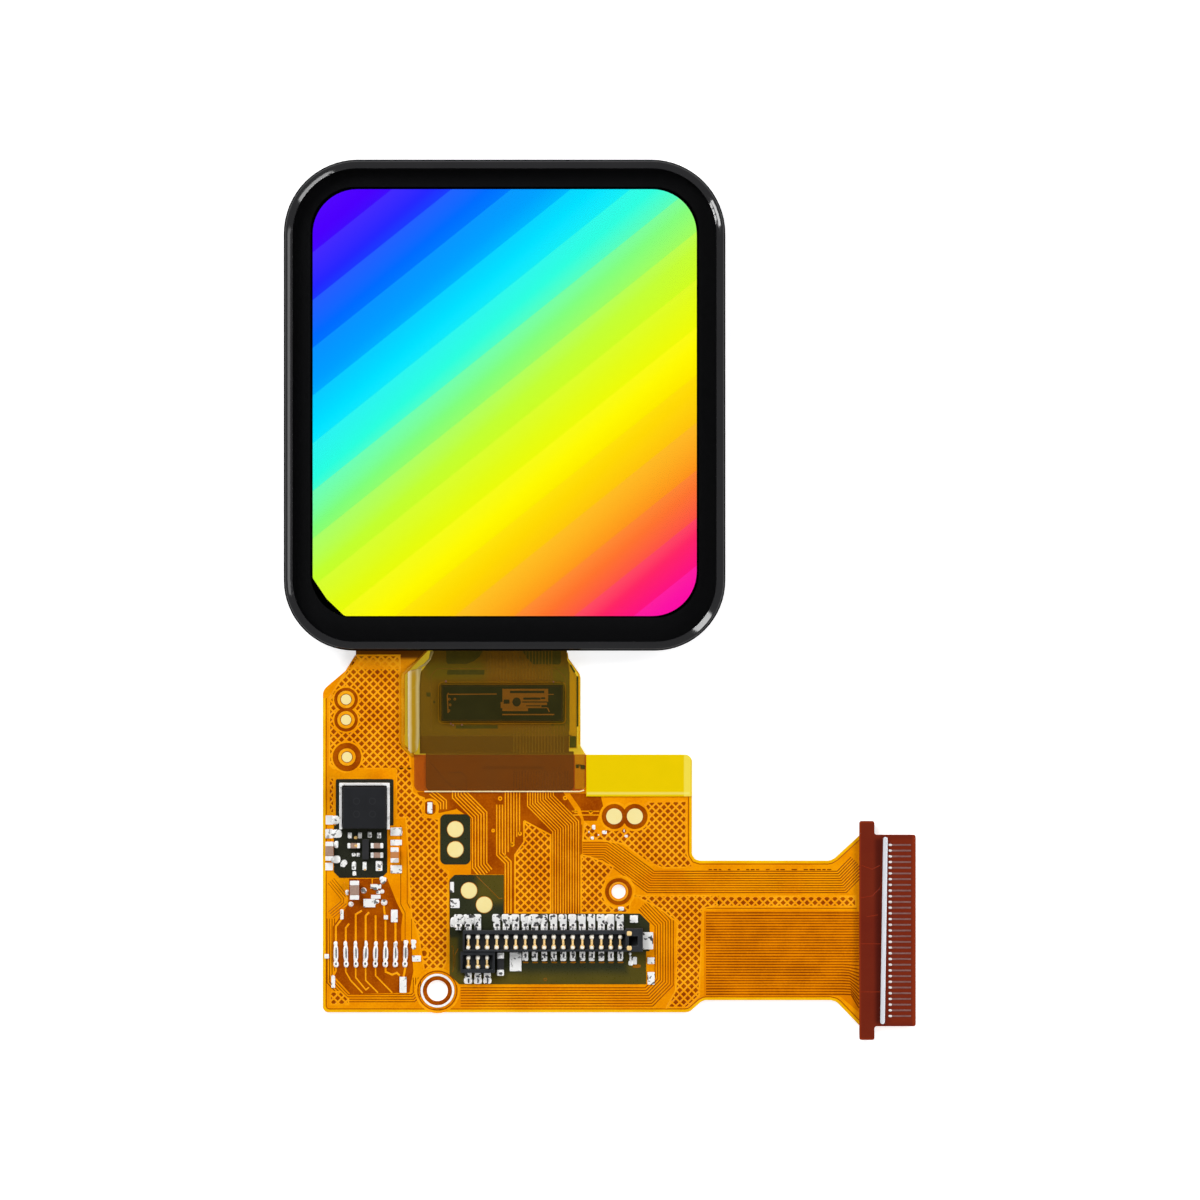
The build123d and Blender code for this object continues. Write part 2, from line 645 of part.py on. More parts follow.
def make_tail_contacts():
    """Row of fine contact lines along the end of the tail."""
    u = STIFFENER_RIGHT - CONTACT_EDGE - CONTACT_LENGTH / 2
    first = TAIL_MIDDLE - CONTACT_SPAN / 2
    rows = [first + CONTACT_PITCH * i for i in range(CONTACT_COUNT)]
    size = (CONTACT_LENGTH, CONTACT_WIDTH)
    return [block(u, v, *size, STIFFENER_TOP, CONTACT_THICKNESS) for v in rows]


def make_tail_bar():
    """Pale bar with round ends, which lies a little askew."""
    contacts_left = STIFFENER_RIGHT - CONTACT_EDGE - CONTACT_LENGTH
    x, y = place(contacts_left - BAR_GAP - BAR_WIDTH / 2, TAIL_MIDDLE)
    bar = extrude(SlotOverall(CONTACT_SPAN + 2 * BAR_OVERHANG, BAR_WIDTH), amount=BAR_HEIGHT)
    bar = chamfer(bar.faces().sort_by(Axis.Z)[-1].edges(), BAR_CHAMFER)
    return Pos(x, y, STIFFENER_TOP) * Rot(0, 0, 90 - BAR_TILT) * bar


# Mask, rear plates and pads
def power_zone():
    """Left, top, right and bottom of the mask round the power section."""
    half_width = POWER_CHIP_WIDTH / 2 + CLIP_GAP + CLIP_WALL + POWER_MASK_MARGIN
    half_depth = POWER_CHIP_DEPTH / 2 + CLIP_GAP + CLIP_WALL + POWER_MASK_MARGIN
    left = POWER_U - half_width
    return left, POWER_V - half_depth, POWER_U + half_width, POWER_V + POWER_MASK_DROP


def power_mask_corners():
    """Outline of the mask round the power section, with a narrower apron below the chip."""
    left, top, right, bottom = power_zone()
    apron_left = left - POWER_MASK_LEFT_STEP
    apron_right = right - POWER_MASK_RIGHT_STEP
    step = POWER_V + POWER_MASK_STEP
    return [
        (left, top, MASK_CORNER),
        (right, top, MASK_CORNER),
        (right, step, 0),
        (apron_right, step, 0),
        (apron_right, bottom - POWER_MASK_CUT, 0),
        (apron_right - POWER_MASK_CUT, bottom, 0),
        (apron_left + POWER_MASK_CUT, bottom, 0),
        (apron_left, bottom - POWER_MASK_CUT, 0),
        (apron_left, step, 0),
        (left, step, 0),
    ]


def connector_zone(margin):
    """Left, wing top, top, right and bottom of the mask round the connectors, grown by a margin."""
    left = HOUSING_LEFT - MASK_LEFT_MARGIN - margin
    top = HOUSING_TOP - MASK_TOP_MARGIN - margin
    right = HOUSING_RIGHT + MASK_RIGHT_MARGIN + margin
    return left, top - WING_HEIGHT, top, right, HOUSING_BOTTOM + MASK_LOWER_MARGIN + margin


def connector_mask_corners():
    """Outline of the mask round the connectors, with a wing above its left end."""
    left, wing_top, top, right, bottom = connector_zone(0)
    return [
        (left, wing_top + WING_CUT, MASK_CORNER),
        (left + WING_CUT, wing_top, MASK_CORNER),
        (left + WING_WIDTH, wing_top, 0),
        (left + WING_WIDTH, top, 0),
        (right - MASK_CUT, top, 0),
        (right, top + MASK_CUT, 0),
        (right, HOUSING_BOTTOM, 0),
        (right - MASK_NOTCH, HOUSING_BOTTOM, 0),
        (right - MASK_NOTCH, bottom, 0),
        (left + MASK_CUT, bottom, MASK_CORNER),
        (left, bottom - MASK_CUT, MASK_CORNER),
    ]


def pair_place():
    """The middle of the pair of masked test pads."""
    return HOUSING_LEFT - PAIR_BACK, BOARD_TOP + PAIR_DROP


def pair_mask_corners():
    """Outline of the mask round the pair of test pads."""
    u, v = pair_place()
    half_width = PAD_RADIUS + PAIR_MARGIN
    half_length = PAD_RADIUS + PAIR_PITCH / 2 + PAIR_MARGIN
    signs = [(-1, -1), (1, -1), (1, 1), (-1, 1)]
    return [(u + a * half_width, v + b * half_length, PAIR_CORNER) for a, b in signs]


def masked_pad_places():
    """Test pads that lie in the mask."""
    u, v = pair_place()
    pair = [(u, v - PAIR_PITCH / 2), (u, v + PAIR_PITCH / 2)]
    return pair + [(HOUSING_LEFT + du, HOUSING_TOP + dv) for du, dv in CORNER_PADS]


def open_pad_places():
    """Test pads near the right edge of the board."""
    u, v = BOARD_RIGHT - OPEN_PAD_BACK, BOARD_TOP + OPEN_PAD_DROP
    return [(u - OPEN_PAD_PITCH, v), (u, v)]


def arm_pad_places():
    """Test pads of the arm."""
    return [(u, ARM_SHOULDER + dv) for u, dv in ARM_PADS]


def make_solder_mask():
    """Dark mask patches, open round the test pads."""
    outlines = (power_mask_corners(), pair_mask_corners(), connector_mask_corners())
    patches = [film_plate(corners, FILM_TOP, MASK_THICKNESS) for corners in outlines]
    for u, v in masked_pad_places():
        opening = disc(u, v, PAD_RADIUS + MASK_GAP, FILM_TOP, MASK_THICKNESS)
        patches = [patch - opening for patch in patches]
    return patches


def make_rear_stiffeners():
    """Plates behind the power section and behind the connectors."""
    left, top, right, bottom = power_zone()
    power = [
        (left - REAR_MARGIN, top - REAR_MARGIN, REAR_CORNER),
        (right + REAR_MARGIN, top - REAR_MARGIN, REAR_CORNER),
        (right + REAR_MARGIN, bottom + REAR_MARGIN, REAR_CORNER),
        (left - REAR_MARGIN, bottom + REAR_MARGIN, REAR_CORNER),
    ]
    left, wing_top, top, right, bottom = connector_zone(REAR_MARGIN)
    wing_right = left + WING_WIDTH + 2 * REAR_MARGIN
    connector = [
        (left, wing_top, REAR_CORNER),
        (wing_right, wing_top, 0),
        (wing_right, top, 0),
        (right, top, REAR_CORNER),
        (right, bottom, REAR_CORNER),
        (left + MASK_CUT, bottom, 0),
        (left, bottom - MASK_CUT, 0),
    ]
    return [film_plate(corners, 0, REAR_STIFFENER_THICKNESS) for corners in (power, connector)]


def make_test_pads():
    """Round gold pads."""
    wide = masked_pad_places() + open_pad_places()
    pads = [disc(u, v, PAD_RADIUS, FILM_TOP, PAD_THICKNESS) for u, v in wide]
    for u, v in arm_pad_places():
        pads.append(disc(u, v, SMALL_PAD_RADIUS, FILM_TOP, PAD_THICKNESS))
    return pads


def make_pad_rings():
    """Copper rings round the three pads of the arm."""
    inner = SMALL_PAD_RADIUS + PAD_RING_GAP
    size = (inner, PAD_RING_WIDTH, FILM_TOP, RING_THICKNESS)
    return [ring(u, v, *size) for u, v in arm_pad_places()]


def make_hole_rings():
    """Rings round the two locating holes."""
    large = LARGE_HOLE_RADIUS + LARGE_RING_GAP
    small = SMALL_HOLE_RADIUS + SMALL_RING_GAP
    return [
        ring(*LARGE_HOLE, large, LARGE_RING_WIDTH, FILM_TOP, RING_THICKNESS),
        ring(*SMALL_HOLE, small, SMALL_RING_WIDTH, FILM_TOP, RING_THICKNESS),
    ]


# Power section
def make_power_chip():
    """Square power part with a softened top edge."""
    size = (POWER_CHIP_WIDTH, POWER_CHIP_DEPTH)
    chip = block(POWER_U, POWER_V, *size, MASK_TOP, POWER_CHIP_HEIGHT)
    return fillet(chip.faces().sort_by(Axis.Z)[-1].edges(), POWER_CHIP_ROUND)


def make_chip_clip():
    """Tin frame on three sides of the power part, open towards the small parts."""
    inner = (POWER_CHIP_WIDTH + 2 * CLIP_GAP, POWER_CHIP_DEPTH + 2 * CLIP_GAP)
    outer = (inner[0] + 2 * CLIP_WALL, inner[1] + CLIP_WALL)
    v = POWER_V - CLIP_WALL / 2
    frame = block(POWER_U, v, *outer, MASK_TOP, CLIP_HEIGHT)
    post_u = POWER_U - outer[0] / 2 + CLIP_POST / 2
    post_v = v - outer[1] / 2 + CLIP_POST / 2
    frame += block(post_u, post_v, CLIP_POST, CLIP_POST, MASK_TOP, CLIP_HEIGHT + CLIP_POST / 2)
    opening = (inner[0], inner[1] + CLIP_WALL)
    cut = block(POWER_U, POWER_V + CLIP_WALL / 2, *opening, MASK_TOP, REACH)
    return frame - cut


def near_power(places):
    """Moves places from the middle of the power chip to the films' own (u, v)."""
    return moved(places, POWER_U, POWER_V)


def moved(places, u, v):
    """Shifts the first two numbers of each place."""
    return [(u + size[0], v + size[1], *size[2:]) for size in places]


def two_ended_part(u, v, length, width, height, angle, end, base):
    """Body and two end caps of a chip part, as a list with the body first."""
    x, y = place(u, v)
    where = Pos(x, y, base + height / 2) * Rot(0, 0, angle)
    body = where * Box(length - 2 * end, width, height)
    shift = (length - end) / 2
    caps = [where * Pos(side * shift, 0, 0) * Box(end, width, height) for side in (-1, 1)]
    return [body] + caps


def capacitor_parts():
    """All chip capacitors, each as a list with the body first."""
    on_film = near_power(SIDE_CAPACITORS + LOWER_CAPACITORS)
    on_mask = near_power(MASKED_CAPACITORS)
    parts = [two_ended_part(*size, CAPACITOR_END, FILM_TOP) for size in on_film]
    return parts + [two_ended_part(*size, SMALL_CAPACITOR_END, MASK_TOP) for size in on_mask]


def make_regulator_chip():
    """Small chip between the capacitors."""
    size = (REGULATOR_WIDTH, REGULATOR_DEPTH, MASK_TOP, REGULATOR_HEIGHT)
    return block(POWER_U + REGULATOR_RIGHT, POWER_V + REGULATOR_DROP, *size)


def lands(places, base, thickness=LAND_THICKNESS):
    """Tinned pads."""
    return [block(*size, base, thickness) for size in places]


def ball(u, v, radius, base):
    """Squat drop of solder with a flat seat and a flat crown."""
    x, y = place(u, v)
    height = radius * BALL_HEIGHT
    return Pos(x, y, base + height / 2) * Cone(radius, radius * BALL_TOP, height)


def make_solder_balls():
    """Solder drops and bits round the power section."""
    drops = [ball(*size, FILM_TOP) for size in near_power(SOLDER_BALLS)]
    drops += [ball(*size, MASK_TOP) for size in near_power(MASKED_BALLS)]
    return drops + lands(near_power(SOLDER_BITS), FILM_TOP, BIT_THICKNESS)


def make_lead_joints():
    """Row of long solder joints with softened top edges."""
    joints = []
    for i in range(JOINT_COUNT):
        u = JOINT_U + JOINT_PITCH * i
        joint = block(u, JOINT_V, JOINT_WIDTH, JOINT_LENGTH, FILM_TOP, JOINT_HEIGHT)
        joints.append(chamfer(joint.faces().sort_by(Axis.Z)[-1].edges(), JOINT_CHAMFER))
    return joints


def make_board_pads():
    """Small tinned pads round the joint row, beside the pair of test pads and by the small hole."""
    places = moved(FIRST_JOINT_PADS, JOINT_U, JOINT_V)
    places += moved(LAST_JOINT_PADS, LAST_JOINT_U, JOINT_V)
    places += moved([SLOT_PAD], *pair_place()) + moved([HOLE_MARK], *SMALL_HOLE)
    return lands(places, FILM_TOP)


# Board connector
def make_connector_housing():
    """Long housing with a contact slot, and an end block with a square notch."""
    u = (HOUSING_LEFT + HOUSING_RIGHT) / 2
    v = (HOUSING_TOP + HOUSING_BOTTOM) / 2
    body = block(u, v, HOUSING_LENGTH, HOUSING_DEPTH, MASK_TOP, HOUSING_HEIGHT)
    end_u = HOUSING_RIGHT - END_BLOCK_LENGTH / 2
    end_depth = HOUSING_DEPTH + END_BLOCK_STEP
    end_v = HOUSING_BOTTOM - end_depth / 2
    end_height = HOUSING_HEIGHT + END_BLOCK_STEP
    body += block(end_u, end_v, END_BLOCK_LENGTH, end_depth, MASK_TOP, end_height)
    slot_length = HOUSING_LENGTH - END_BLOCK_LENGTH - HOUSING_WALL
    slot_u = HOUSING_LEFT + HOUSING_WALL + slot_length / 2
    slot_v = (HOUSING_TOP + HOUSING_RAIL + HOUSING_BOTTOM - HOUSING_WALL) / 2
    slot_width = HOUSING_DEPTH - HOUSING_RAIL - HOUSING_WALL
    floor = MASK_TOP + HOUSING_HEIGHT - SLOT_DEPTH
    body -= block(slot_u, slot_v, slot_length, slot_width, floor, SLOT_DEPTH)
    notch_u = HOUSING_RIGHT - END_BLOCK_LENGTH + NOTCH_LEFT + NOTCH_LENGTH / 2
    return body - block(notch_u, v, NOTCH_LENGTH, NOTCH_DEPTH, floor, REACH)


def way(u, top, bottom, floor):
    """One spring contact: a strip with a hump at each end."""
    x, _ = place(u, 0)
    start = GLASS_LOWER_EDGE - bottom
    end = GLASS_LOWER_EDGE - top
    half = (end - start) / 3
    section = [
        (start, floor),
        (end, floor),
        (end, floor + WAY_HUMP),
        (end - half / 4, floor + 2 * WAY_HUMP),
        (end - half * 3 / 4, floor + 2 * WAY_HUMP),
        (end - half, floor + WAY_STRIP),
        (start + half, floor + WAY_STRIP),
        (start + half * 3 / 4, floor + 2 * WAY_HUMP),
        (start + half / 4, floor + 2 * WAY_HUMP),
        (start, floor + WAY_HUMP),
    ]
    face = Plane.YZ * make_face(Polyline(*section, close=True))
    return Pos(x, 0, 0) * extrude(face, amount=WAY_WIDTH / 2, both=True)


def way_place(index):
    """The u of a contact of the board connector."""
    return HOUSING_LEFT + FIRST_WAY + WAY_PITCH * index


def make_connector_contacts():
    """Spring contacts in the slot of the board connector."""
    floor = MASK_TOP + HOUSING_HEIGHT - SLOT_DEPTH
    top = HOUSING_TOP + HOUSING_RAIL + WAY_GAP
    bottom = HOUSING_BOTTOM - HOUSING_WALL - WAY_GAP
    return [way(way_place(i), top, bottom, floor) for i in range(WAY_COUNT)]


def solder_tail(u, v, length, width, direction):
    """Solder tail that touches the housing at v and runs away from it along the mask."""
    x, _ = place(u, 0)
    y = GLASS_LOWER_EDGE - v
    section = [
        (y, MASK_TOP),
        (y, MASK_TOP + TAIL_RISE),
        (y + direction * TAIL_LEG, MASK_TOP + TAIL_RISE),
        (y + direction * 2 * TAIL_LEG, MASK_TOP + TAIL_FOOT),
        (y + direction * length, MASK_TOP + TAIL_FOOT),
        (y + direction * length, MASK_TOP),
    ]
    face = Plane.YZ * make_face(Polyline(*section, close=True))
    return Pos(x, 0, 0) * extrude(face, amount=width / 2, both=True)


def make_connector_tails():
    """Solder tails along both long sides of the board connector."""
    upper = [i for i in range(-1, WAY_COUNT) if i != SKIPPED_WAY]
    lower = range(FIRST_LOWER_WAY, WAY_COUNT)
    tails = [solder_tail(way_place(i), HOUSING_TOP, UPPER_TAIL_LENGTH, TAIL_WIDTH, 1) for i in upper]
    for i in lower:
        tail = solder_tail(way_place(i), HOUSING_BOTTOM, LOWER_TAIL_LENGTH, LOWER_TAIL_WIDTH, -1)
        tails.append(tail)
    return tails


def make_connector_anchors():
    """Solder anchor at the right end of the housing, and the pads near it."""
    u = HOUSING_RIGHT + ANCHOR_LENGTH / 2
    v = (HOUSING_TOP + HOUSING_BOTTOM) / 2
    anchor = block(u, v, ANCHOR_LENGTH, ANCHOR_WIDTH, MASK_TOP, ANCHOR_HEIGHT)
    masked = moved(CORNER_LANDS, HOUSING_LEFT, HOUSING_TOP)
    masked += moved(END_LANDS, HOUSING_RIGHT, HOUSING_TOP)
    edge = moved(EDGE_LANDS, HOUSING_RIGHT, HOUSING_TOP)
    return [anchor] + lands(masked, MASK_TOP) + lands(edge, FILM_TOP)


# Side connector
def side_way_places():
    """The u of each contact of the side connector, in line with those of the board connector."""
    return [way_place(i) for i in range(SIDE_WAYS)]


def make_side_housing():
    """Small housing that continues the board connector below its left end."""
    u = (SIDE_LEFT + SIDE_RIGHT) / 2
    v = HOUSING_BOTTOM + SIDE_DEPTH / 2
    body = block(u, v, SIDE_RIGHT - SIDE_LEFT, SIDE_DEPTH, MASK_TOP, SIDE_HEIGHT)
    floor = MASK_TOP + SIDE_HEIGHT - SLOT_DEPTH
    length = SIDE_RIGHT - SIDE_LEFT - 2 * HOUSING_WALL
    return body - block(u, v, length, SIDE_DEPTH - 2 * SIDE_WALL, floor, SLOT_DEPTH)


def make_side_contacts():
    """Spring contacts of the side connector."""
    floor = MASK_TOP + SIDE_HEIGHT - SLOT_DEPTH
    top = HOUSING_BOTTOM + SIDE_WALL + WAY_GAP
    bottom = HOUSING_BOTTOM + SIDE_DEPTH - SIDE_WALL - WAY_GAP
    return [way(u, top, bottom, floor) for u in side_way_places()]


def make_side_tails():
    """Solder tails of the side connector."""
    v = HOUSING_BOTTOM + SIDE_DEPTH
    return [solder_tail(u, v, SIDE_TAIL_LENGTH, TAIL_WIDTH, -1) for u in side_way_places()]


def resistor_parts():
    """Body and end caps of the chip resistor, beside the side connector."""
    u = SIDE_RIGHT + RESISTOR_GAP + RESISTOR_WIDTH / 2
    v = HOUSING_BOTTOM + RESISTOR_DROP + RESISTOR_LENGTH / 2
    size = (RESISTOR_LENGTH, RESISTOR_WIDTH, RESISTOR_HEIGHT)
    return two_ended_part(u, v, *size, 90, RESISTOR_END, MASK_TOP)


def make_ground_pad():
    """Large tinned pad beside the chip resistor."""
    left = SIDE_RIGHT + RESISTOR_GAP + RESISTOR_WIDTH + GROUND_PAD_GAP
    u = left + GROUND_PAD_WIDTH / 2
    v = HOUSING_BOTTOM + GROUND_PAD_DROP + GROUND_PAD_LENGTH / 2
    return block(u, v, GROUND_PAD_WIDTH, GROUND_PAD_LENGTH, MASK_TOP, LAND_THICKNESS)


def export(name, solids):
    """Writes one sub-part, a solid or a list of separate solids."""
    if isinstance(solids, list):
        shape = Compound(children=solids) if len(solids) > 1 else solids[0]
    else:
        shape = solids
    export_step(shape, f"parts/{name}.step")


def main():
    """Builds every sub-part and writes it."""
    os.makedirs("parts", exist_ok=True)
    ink = make_border_ink()
    chip = make_driver_chip()
    capacitors = capacitor_parts()
    resistor = resistor_parts()

    export("cover_glass", make_cover_glass())
    export("border_ink", ink)
    export("optical_adhesive", make_optical_adhesive(ink))
    export("polarizer_film", make_polarizer_film())
    export("encapsulation_glass", make_encapsulation_glass())
    export("seal_ring", make_seal_ring())
    export("emitting_layer", make_emitting_layer())
    export("panel_substrate", make_panel_substrate())
    export("back_pad", make_back_pad())

    export("circuit_film", make_circuit_film())
    export("driver_film", make_driver_film())
    export("driver_chip", chip)
    export("chip_resin", make_chip_resin(chip))
    export("cover_tape", make_cover_tape())
    export("yellow_tape", make_yellow_tape())
    export("rear_stiffeners", make_rear_stiffeners())
    export("tail_stiffener", make_tail_stiffener())
    export("tail_contacts", make_tail_contacts())
    export("tail_bar", make_tail_bar())

    export("solder_mask", make_solder_mask())
    export("test_pads", make_test_pads())
    export("pad_rings", make_pad_rings())
    export("hole_rings", make_hole_rings())
    export("power_chip", make_power_chip())
    export("chip_clip", make_chip_clip())
    export("capacitor_bodies", [part[0] for part in capacitors])
    export("capacitor_ends", [cap for part in capacitors for cap in part[1:]])
    export("regulator_chip", make_regulator_chip())
    export("chip_pads", lands(near_power(CHIP_PADS), MASK_TOP))
    export("side_pads", lands(near_power(SIDE_PADS), FILM_TOP))
    export("solder_balls", make_solder_balls())
    export("lead_joints", make_lead_joints())
    export("board_pads", make_board_pads())

    export("connector_housing", make_connector_housing())
    export("connector_contacts", make_connector_contacts())
    export("connector_tails", make_connector_tails())
    export("connector_anchors", make_connector_anchors())
    export("side_housing", make_side_housing())
    export("side_contacts", make_side_contacts())
    export("side_tails", make_side_tails())
    export("chip_resistor", resistor[0])
    export("resistor_ends", resistor[1:])
    export("ground_pad", make_ground_pad())


main()
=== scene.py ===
"""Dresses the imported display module: lit picture, glass, copper pattern, solder, contacts and tapes."""
import bmesh
import bpy
import math
import random
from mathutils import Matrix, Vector
from mathutils.bvhtree import BVHTree


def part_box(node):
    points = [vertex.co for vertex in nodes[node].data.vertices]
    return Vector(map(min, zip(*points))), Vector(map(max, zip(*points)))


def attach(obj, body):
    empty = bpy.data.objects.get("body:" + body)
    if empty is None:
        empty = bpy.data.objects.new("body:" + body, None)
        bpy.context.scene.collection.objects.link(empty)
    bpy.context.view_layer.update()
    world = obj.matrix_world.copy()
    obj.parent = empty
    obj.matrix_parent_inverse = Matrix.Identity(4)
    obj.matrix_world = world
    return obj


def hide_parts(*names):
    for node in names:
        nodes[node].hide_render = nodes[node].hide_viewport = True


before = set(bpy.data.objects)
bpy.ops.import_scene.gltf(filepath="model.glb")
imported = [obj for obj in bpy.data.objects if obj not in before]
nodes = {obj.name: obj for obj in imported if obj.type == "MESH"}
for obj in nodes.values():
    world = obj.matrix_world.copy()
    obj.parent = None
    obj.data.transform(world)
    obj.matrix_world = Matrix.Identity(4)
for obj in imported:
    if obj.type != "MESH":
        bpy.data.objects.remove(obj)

bl_info = {
    "name": "Display Module Finish",
    "version": (1, 0, 0),
    "blender": (4, 5, 0),
    "location": "3D View > Sidebar > Display",
    "description": "Gives a small display module its lit picture, glass, copper pattern, solder and tapes",
    "category": "Object",
}

# Lengths in this script are millimetres, and Blender's are metres.
MM = 0.001

# Where the photograph's frame lies in the part: pixels per millimetre, pixel of the origin, size of the frame
PHOTO_SCALE = 19.0
PHOTO_ORIGIN = (504.75, 405.5)
PHOTO_SIZE = 1200


def box_mm(node):
    """Lowest and highest corner of a node in millimetres."""
    low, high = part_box(node)
    return low / MM, high / MM


GLASS_LOW, GLASS_HIGH = box_mm("cover_glass")
FILM_LOW, FILM_HIGH = box_mm("circuit_film")
LIT_LOW, LIT_HIGH = box_mm("emitting_layer")
MASK_LOW, MASK_HIGH = box_mm("solder_mask")
FILM_TOP = MASK_LOW.z
MASK_TOP = MASK_HIGH.z


def place(u, v):
    """X and Y of a place on the films: u from the film's left edge, v down from the glass's lower edge."""
    return FILM_LOW.x + u, GLASS_LOW.y - v


WHITE = (1.0, 1.0, 1.0, 1.0)
BLACK = (0.0, 0.0, 0.0, 1.0)


def linear(shade):
    """A screen colour of three values from 0 to 1, as linear light."""
    steps = [c / 12.92 if c <= 0.04045 else ((c + 0.055) / 1.055) ** 2.4 for c in shade[:3]]
    return (*steps, 1.0)


# Shader maths
def maths(operation, turned=False):
    """A method of Value that adds a Math node; turned swaps the node's two inputs."""
    def method(self, other=0.0):
        first, second = (other, self) if turned else (self, other)
        return self.finish.node("ShaderNodeMath", {"operation": operation}, {0: first, 1: second})
    return method


class Value:
    """A node's output as a number in Python expressions: each operator adds a Math node."""

    def __init__(self, finish, socket):
        self.finish = finish
        self.socket = socket

    __add__, __radd__ = maths("ADD"), maths("ADD", True)
    __sub__, __rsub__ = maths("SUBTRACT"), maths("SUBTRACT", True)
    __mul__, __rmul__ = maths("MULTIPLY"), maths("MULTIPLY", True)
    __truediv__, __pow__, __gt__ = maths("DIVIDE"), maths("POWER"), maths("GREATER_THAN")
    over, under = maths("MAXIMUM"), maths("MINIMUM")
    floor, size = maths("FLOOR"), maths("ABSOLUTE")


class Finish:
    """Builds one material, or the light of a world."""

    def __init__(self, name="", world=None):
        self.material = world or bpy.data.materials.new(name)
        self.material.use_nodes = True
        self.tree = self.material.node_tree
        self.tree.nodes.clear()
        self.spot = None

    def node(self, kind, settings=None, sockets=None, output=0):
        """Adds a node: its settings first, then the values or links of its sockets; gives its outputs."""
        made = self.tree.nodes.new(kind)
        for name, value in (settings or {}).items():
            if name == "stops":
                self.set_stops(made.color_ramp, value)
            else:
                setattr(made, name, value)
        for name, value in (sockets or {}).items():
            if isinstance(value, Value):
                self.tree.links.new(value.socket, made.inputs[name])
            else:
                made.inputs[name].default_value = value
        if isinstance(output, tuple):
            return [Value(self, made.outputs[name]) for name in output]
        return Value(self, made.outputs[output]) if made.outputs else made

    def set_stops(self, ramp, stops):
        """Gives a colour ramp its stops, as (place, colour)."""
        while len(ramp.elements) < len(stops):
            ramp.elements.new(0.5)
        for element, (where, shade) in zip(ramp.elements, stops):
            element.position = where
            element.color = linear(shade)

    def place(self):
        """The point on the object in millimetres."""
        if self.spot is None:
            spot = self.node("ShaderNodeTexCoord", output=3)
            self.spot = self.node("ShaderNodeVectorMath", {"operation": "SCALE"}, {0: spot, "Scale": 1 / MM})
        return self.spot

    def axes(self, spot=None):
        """X, Y and Z of a point, as three values; without one, of the point on the object."""
        return self.node("ShaderNodeSeparateXYZ", sockets={0: spot or self.place()}, output=("X", "Y", "Z"))

    def noise(self, scale, detail=3.0, stretch=None):
        """Smooth noise with about this many grains in a millimetre, squeezed by three factors where asked."""
        spot = self.place()
        if stretch:
            spot = self.node("ShaderNodeVectorMath", {"operation": "MULTIPLY"}, {0: spot, 1: stretch})
        return self.node("ShaderNodeTexNoise", sockets={"Vector": spot, "Scale": scale, "Detail": detail})

    def ramp(self, value, stops):
        """A colour, or a grey used as a number, looked up from a value."""
        return self.node("ShaderNodeValToRGB", {"stops": stops}, {"Fac": value})

    def mask(self, value, low, high):
        """0 below low, 1 above high and smooth between."""
        settings = {"interpolation_type": "SMOOTHSTEP"}
        return self.node("ShaderNodeMapRange", settings, {"Value": value, "From Min": low, "From Max": high})

    def patch(self, left, top, right, bottom, blur):
        """1 inside a box on the films, and 0 outside."""
        x, y, _ = self.axes()
        (low_x, low_y), (high_x, high_y) = place(left, bottom), place(right, top)
        past = [self.mask(axis, edge - blur, edge + blur)
                for axis, edge in ((x, low_x), (y, low_y), (x, high_x), (y, high_y))]
        return past[0] * past[1] * (1.0 - past[2]) * (1.0 - past[3])

    def mix(self, factor, first, second):
        """Colour between two colours, which are links or linear colours."""
        sockets = {0: factor, 6: first, 7: second}
        return self.node("ShaderNodeMix", {"data_type": "RGBA"}, sockets, output=2)

    def tones(self, factor, first, second):
        """Colour between two screen colours."""
        return self.mix(factor, linear(first), linear(second))

    def shaded(self, colour, patches):
        """A colour with boxes on the films shaded: share, box, blur and screen colour of each."""
        for share, box, blur, shade in patches:
            colour = self.mix(share * self.patch(*box, blur), colour, linear(shade))
        return colour

    def bump(self, height, distance, strength=1.0):
        """A normal from a height; the distance is in millimetres."""
        sockets = {"Height": height, "Distance": distance * MM, "Strength": strength}
        return self.node("ShaderNodeBump", sockets=sockets)

    def clear(self, tint):
        """A shader that lets light through with a tint."""
        return self.node("ShaderNodeBsdfTransparent", sockets={"Color": (*tint, 1.0)})

    def shader(self, **sockets):
        """The plain surface shader. Names are its sockets with underscores for blanks."""
        named = {name.replace("_", " "): value for name, value in sockets.items()}
        return self.node("ShaderNodeBsdfPrincipled", sockets=named)

    def surface(self, **sockets):
        """Ends the material in the plain surface shader."""
        return self.show(self.shader(**sockets))

    def blend(self, factor, first, second):
        """A shader between two shaders."""
        return self.node("ShaderNodeMixShader", sockets={0: factor, 1: first, 2: second})

    def show(self, shader):
        """Ends the material in a shader."""
        self.node("ShaderNodeOutputMaterial", sockets={"Surface": shader})
        return self.material

    def coat(self, colour, rough, spread, grain, depth, **more):
        """Ends the material in a surface whose roughness and small relief follow a grain."""
        return self.surface(
            Base_Color=colour, Roughness=rough + spread * grain, Normal=self.bump(grain, depth), **more)


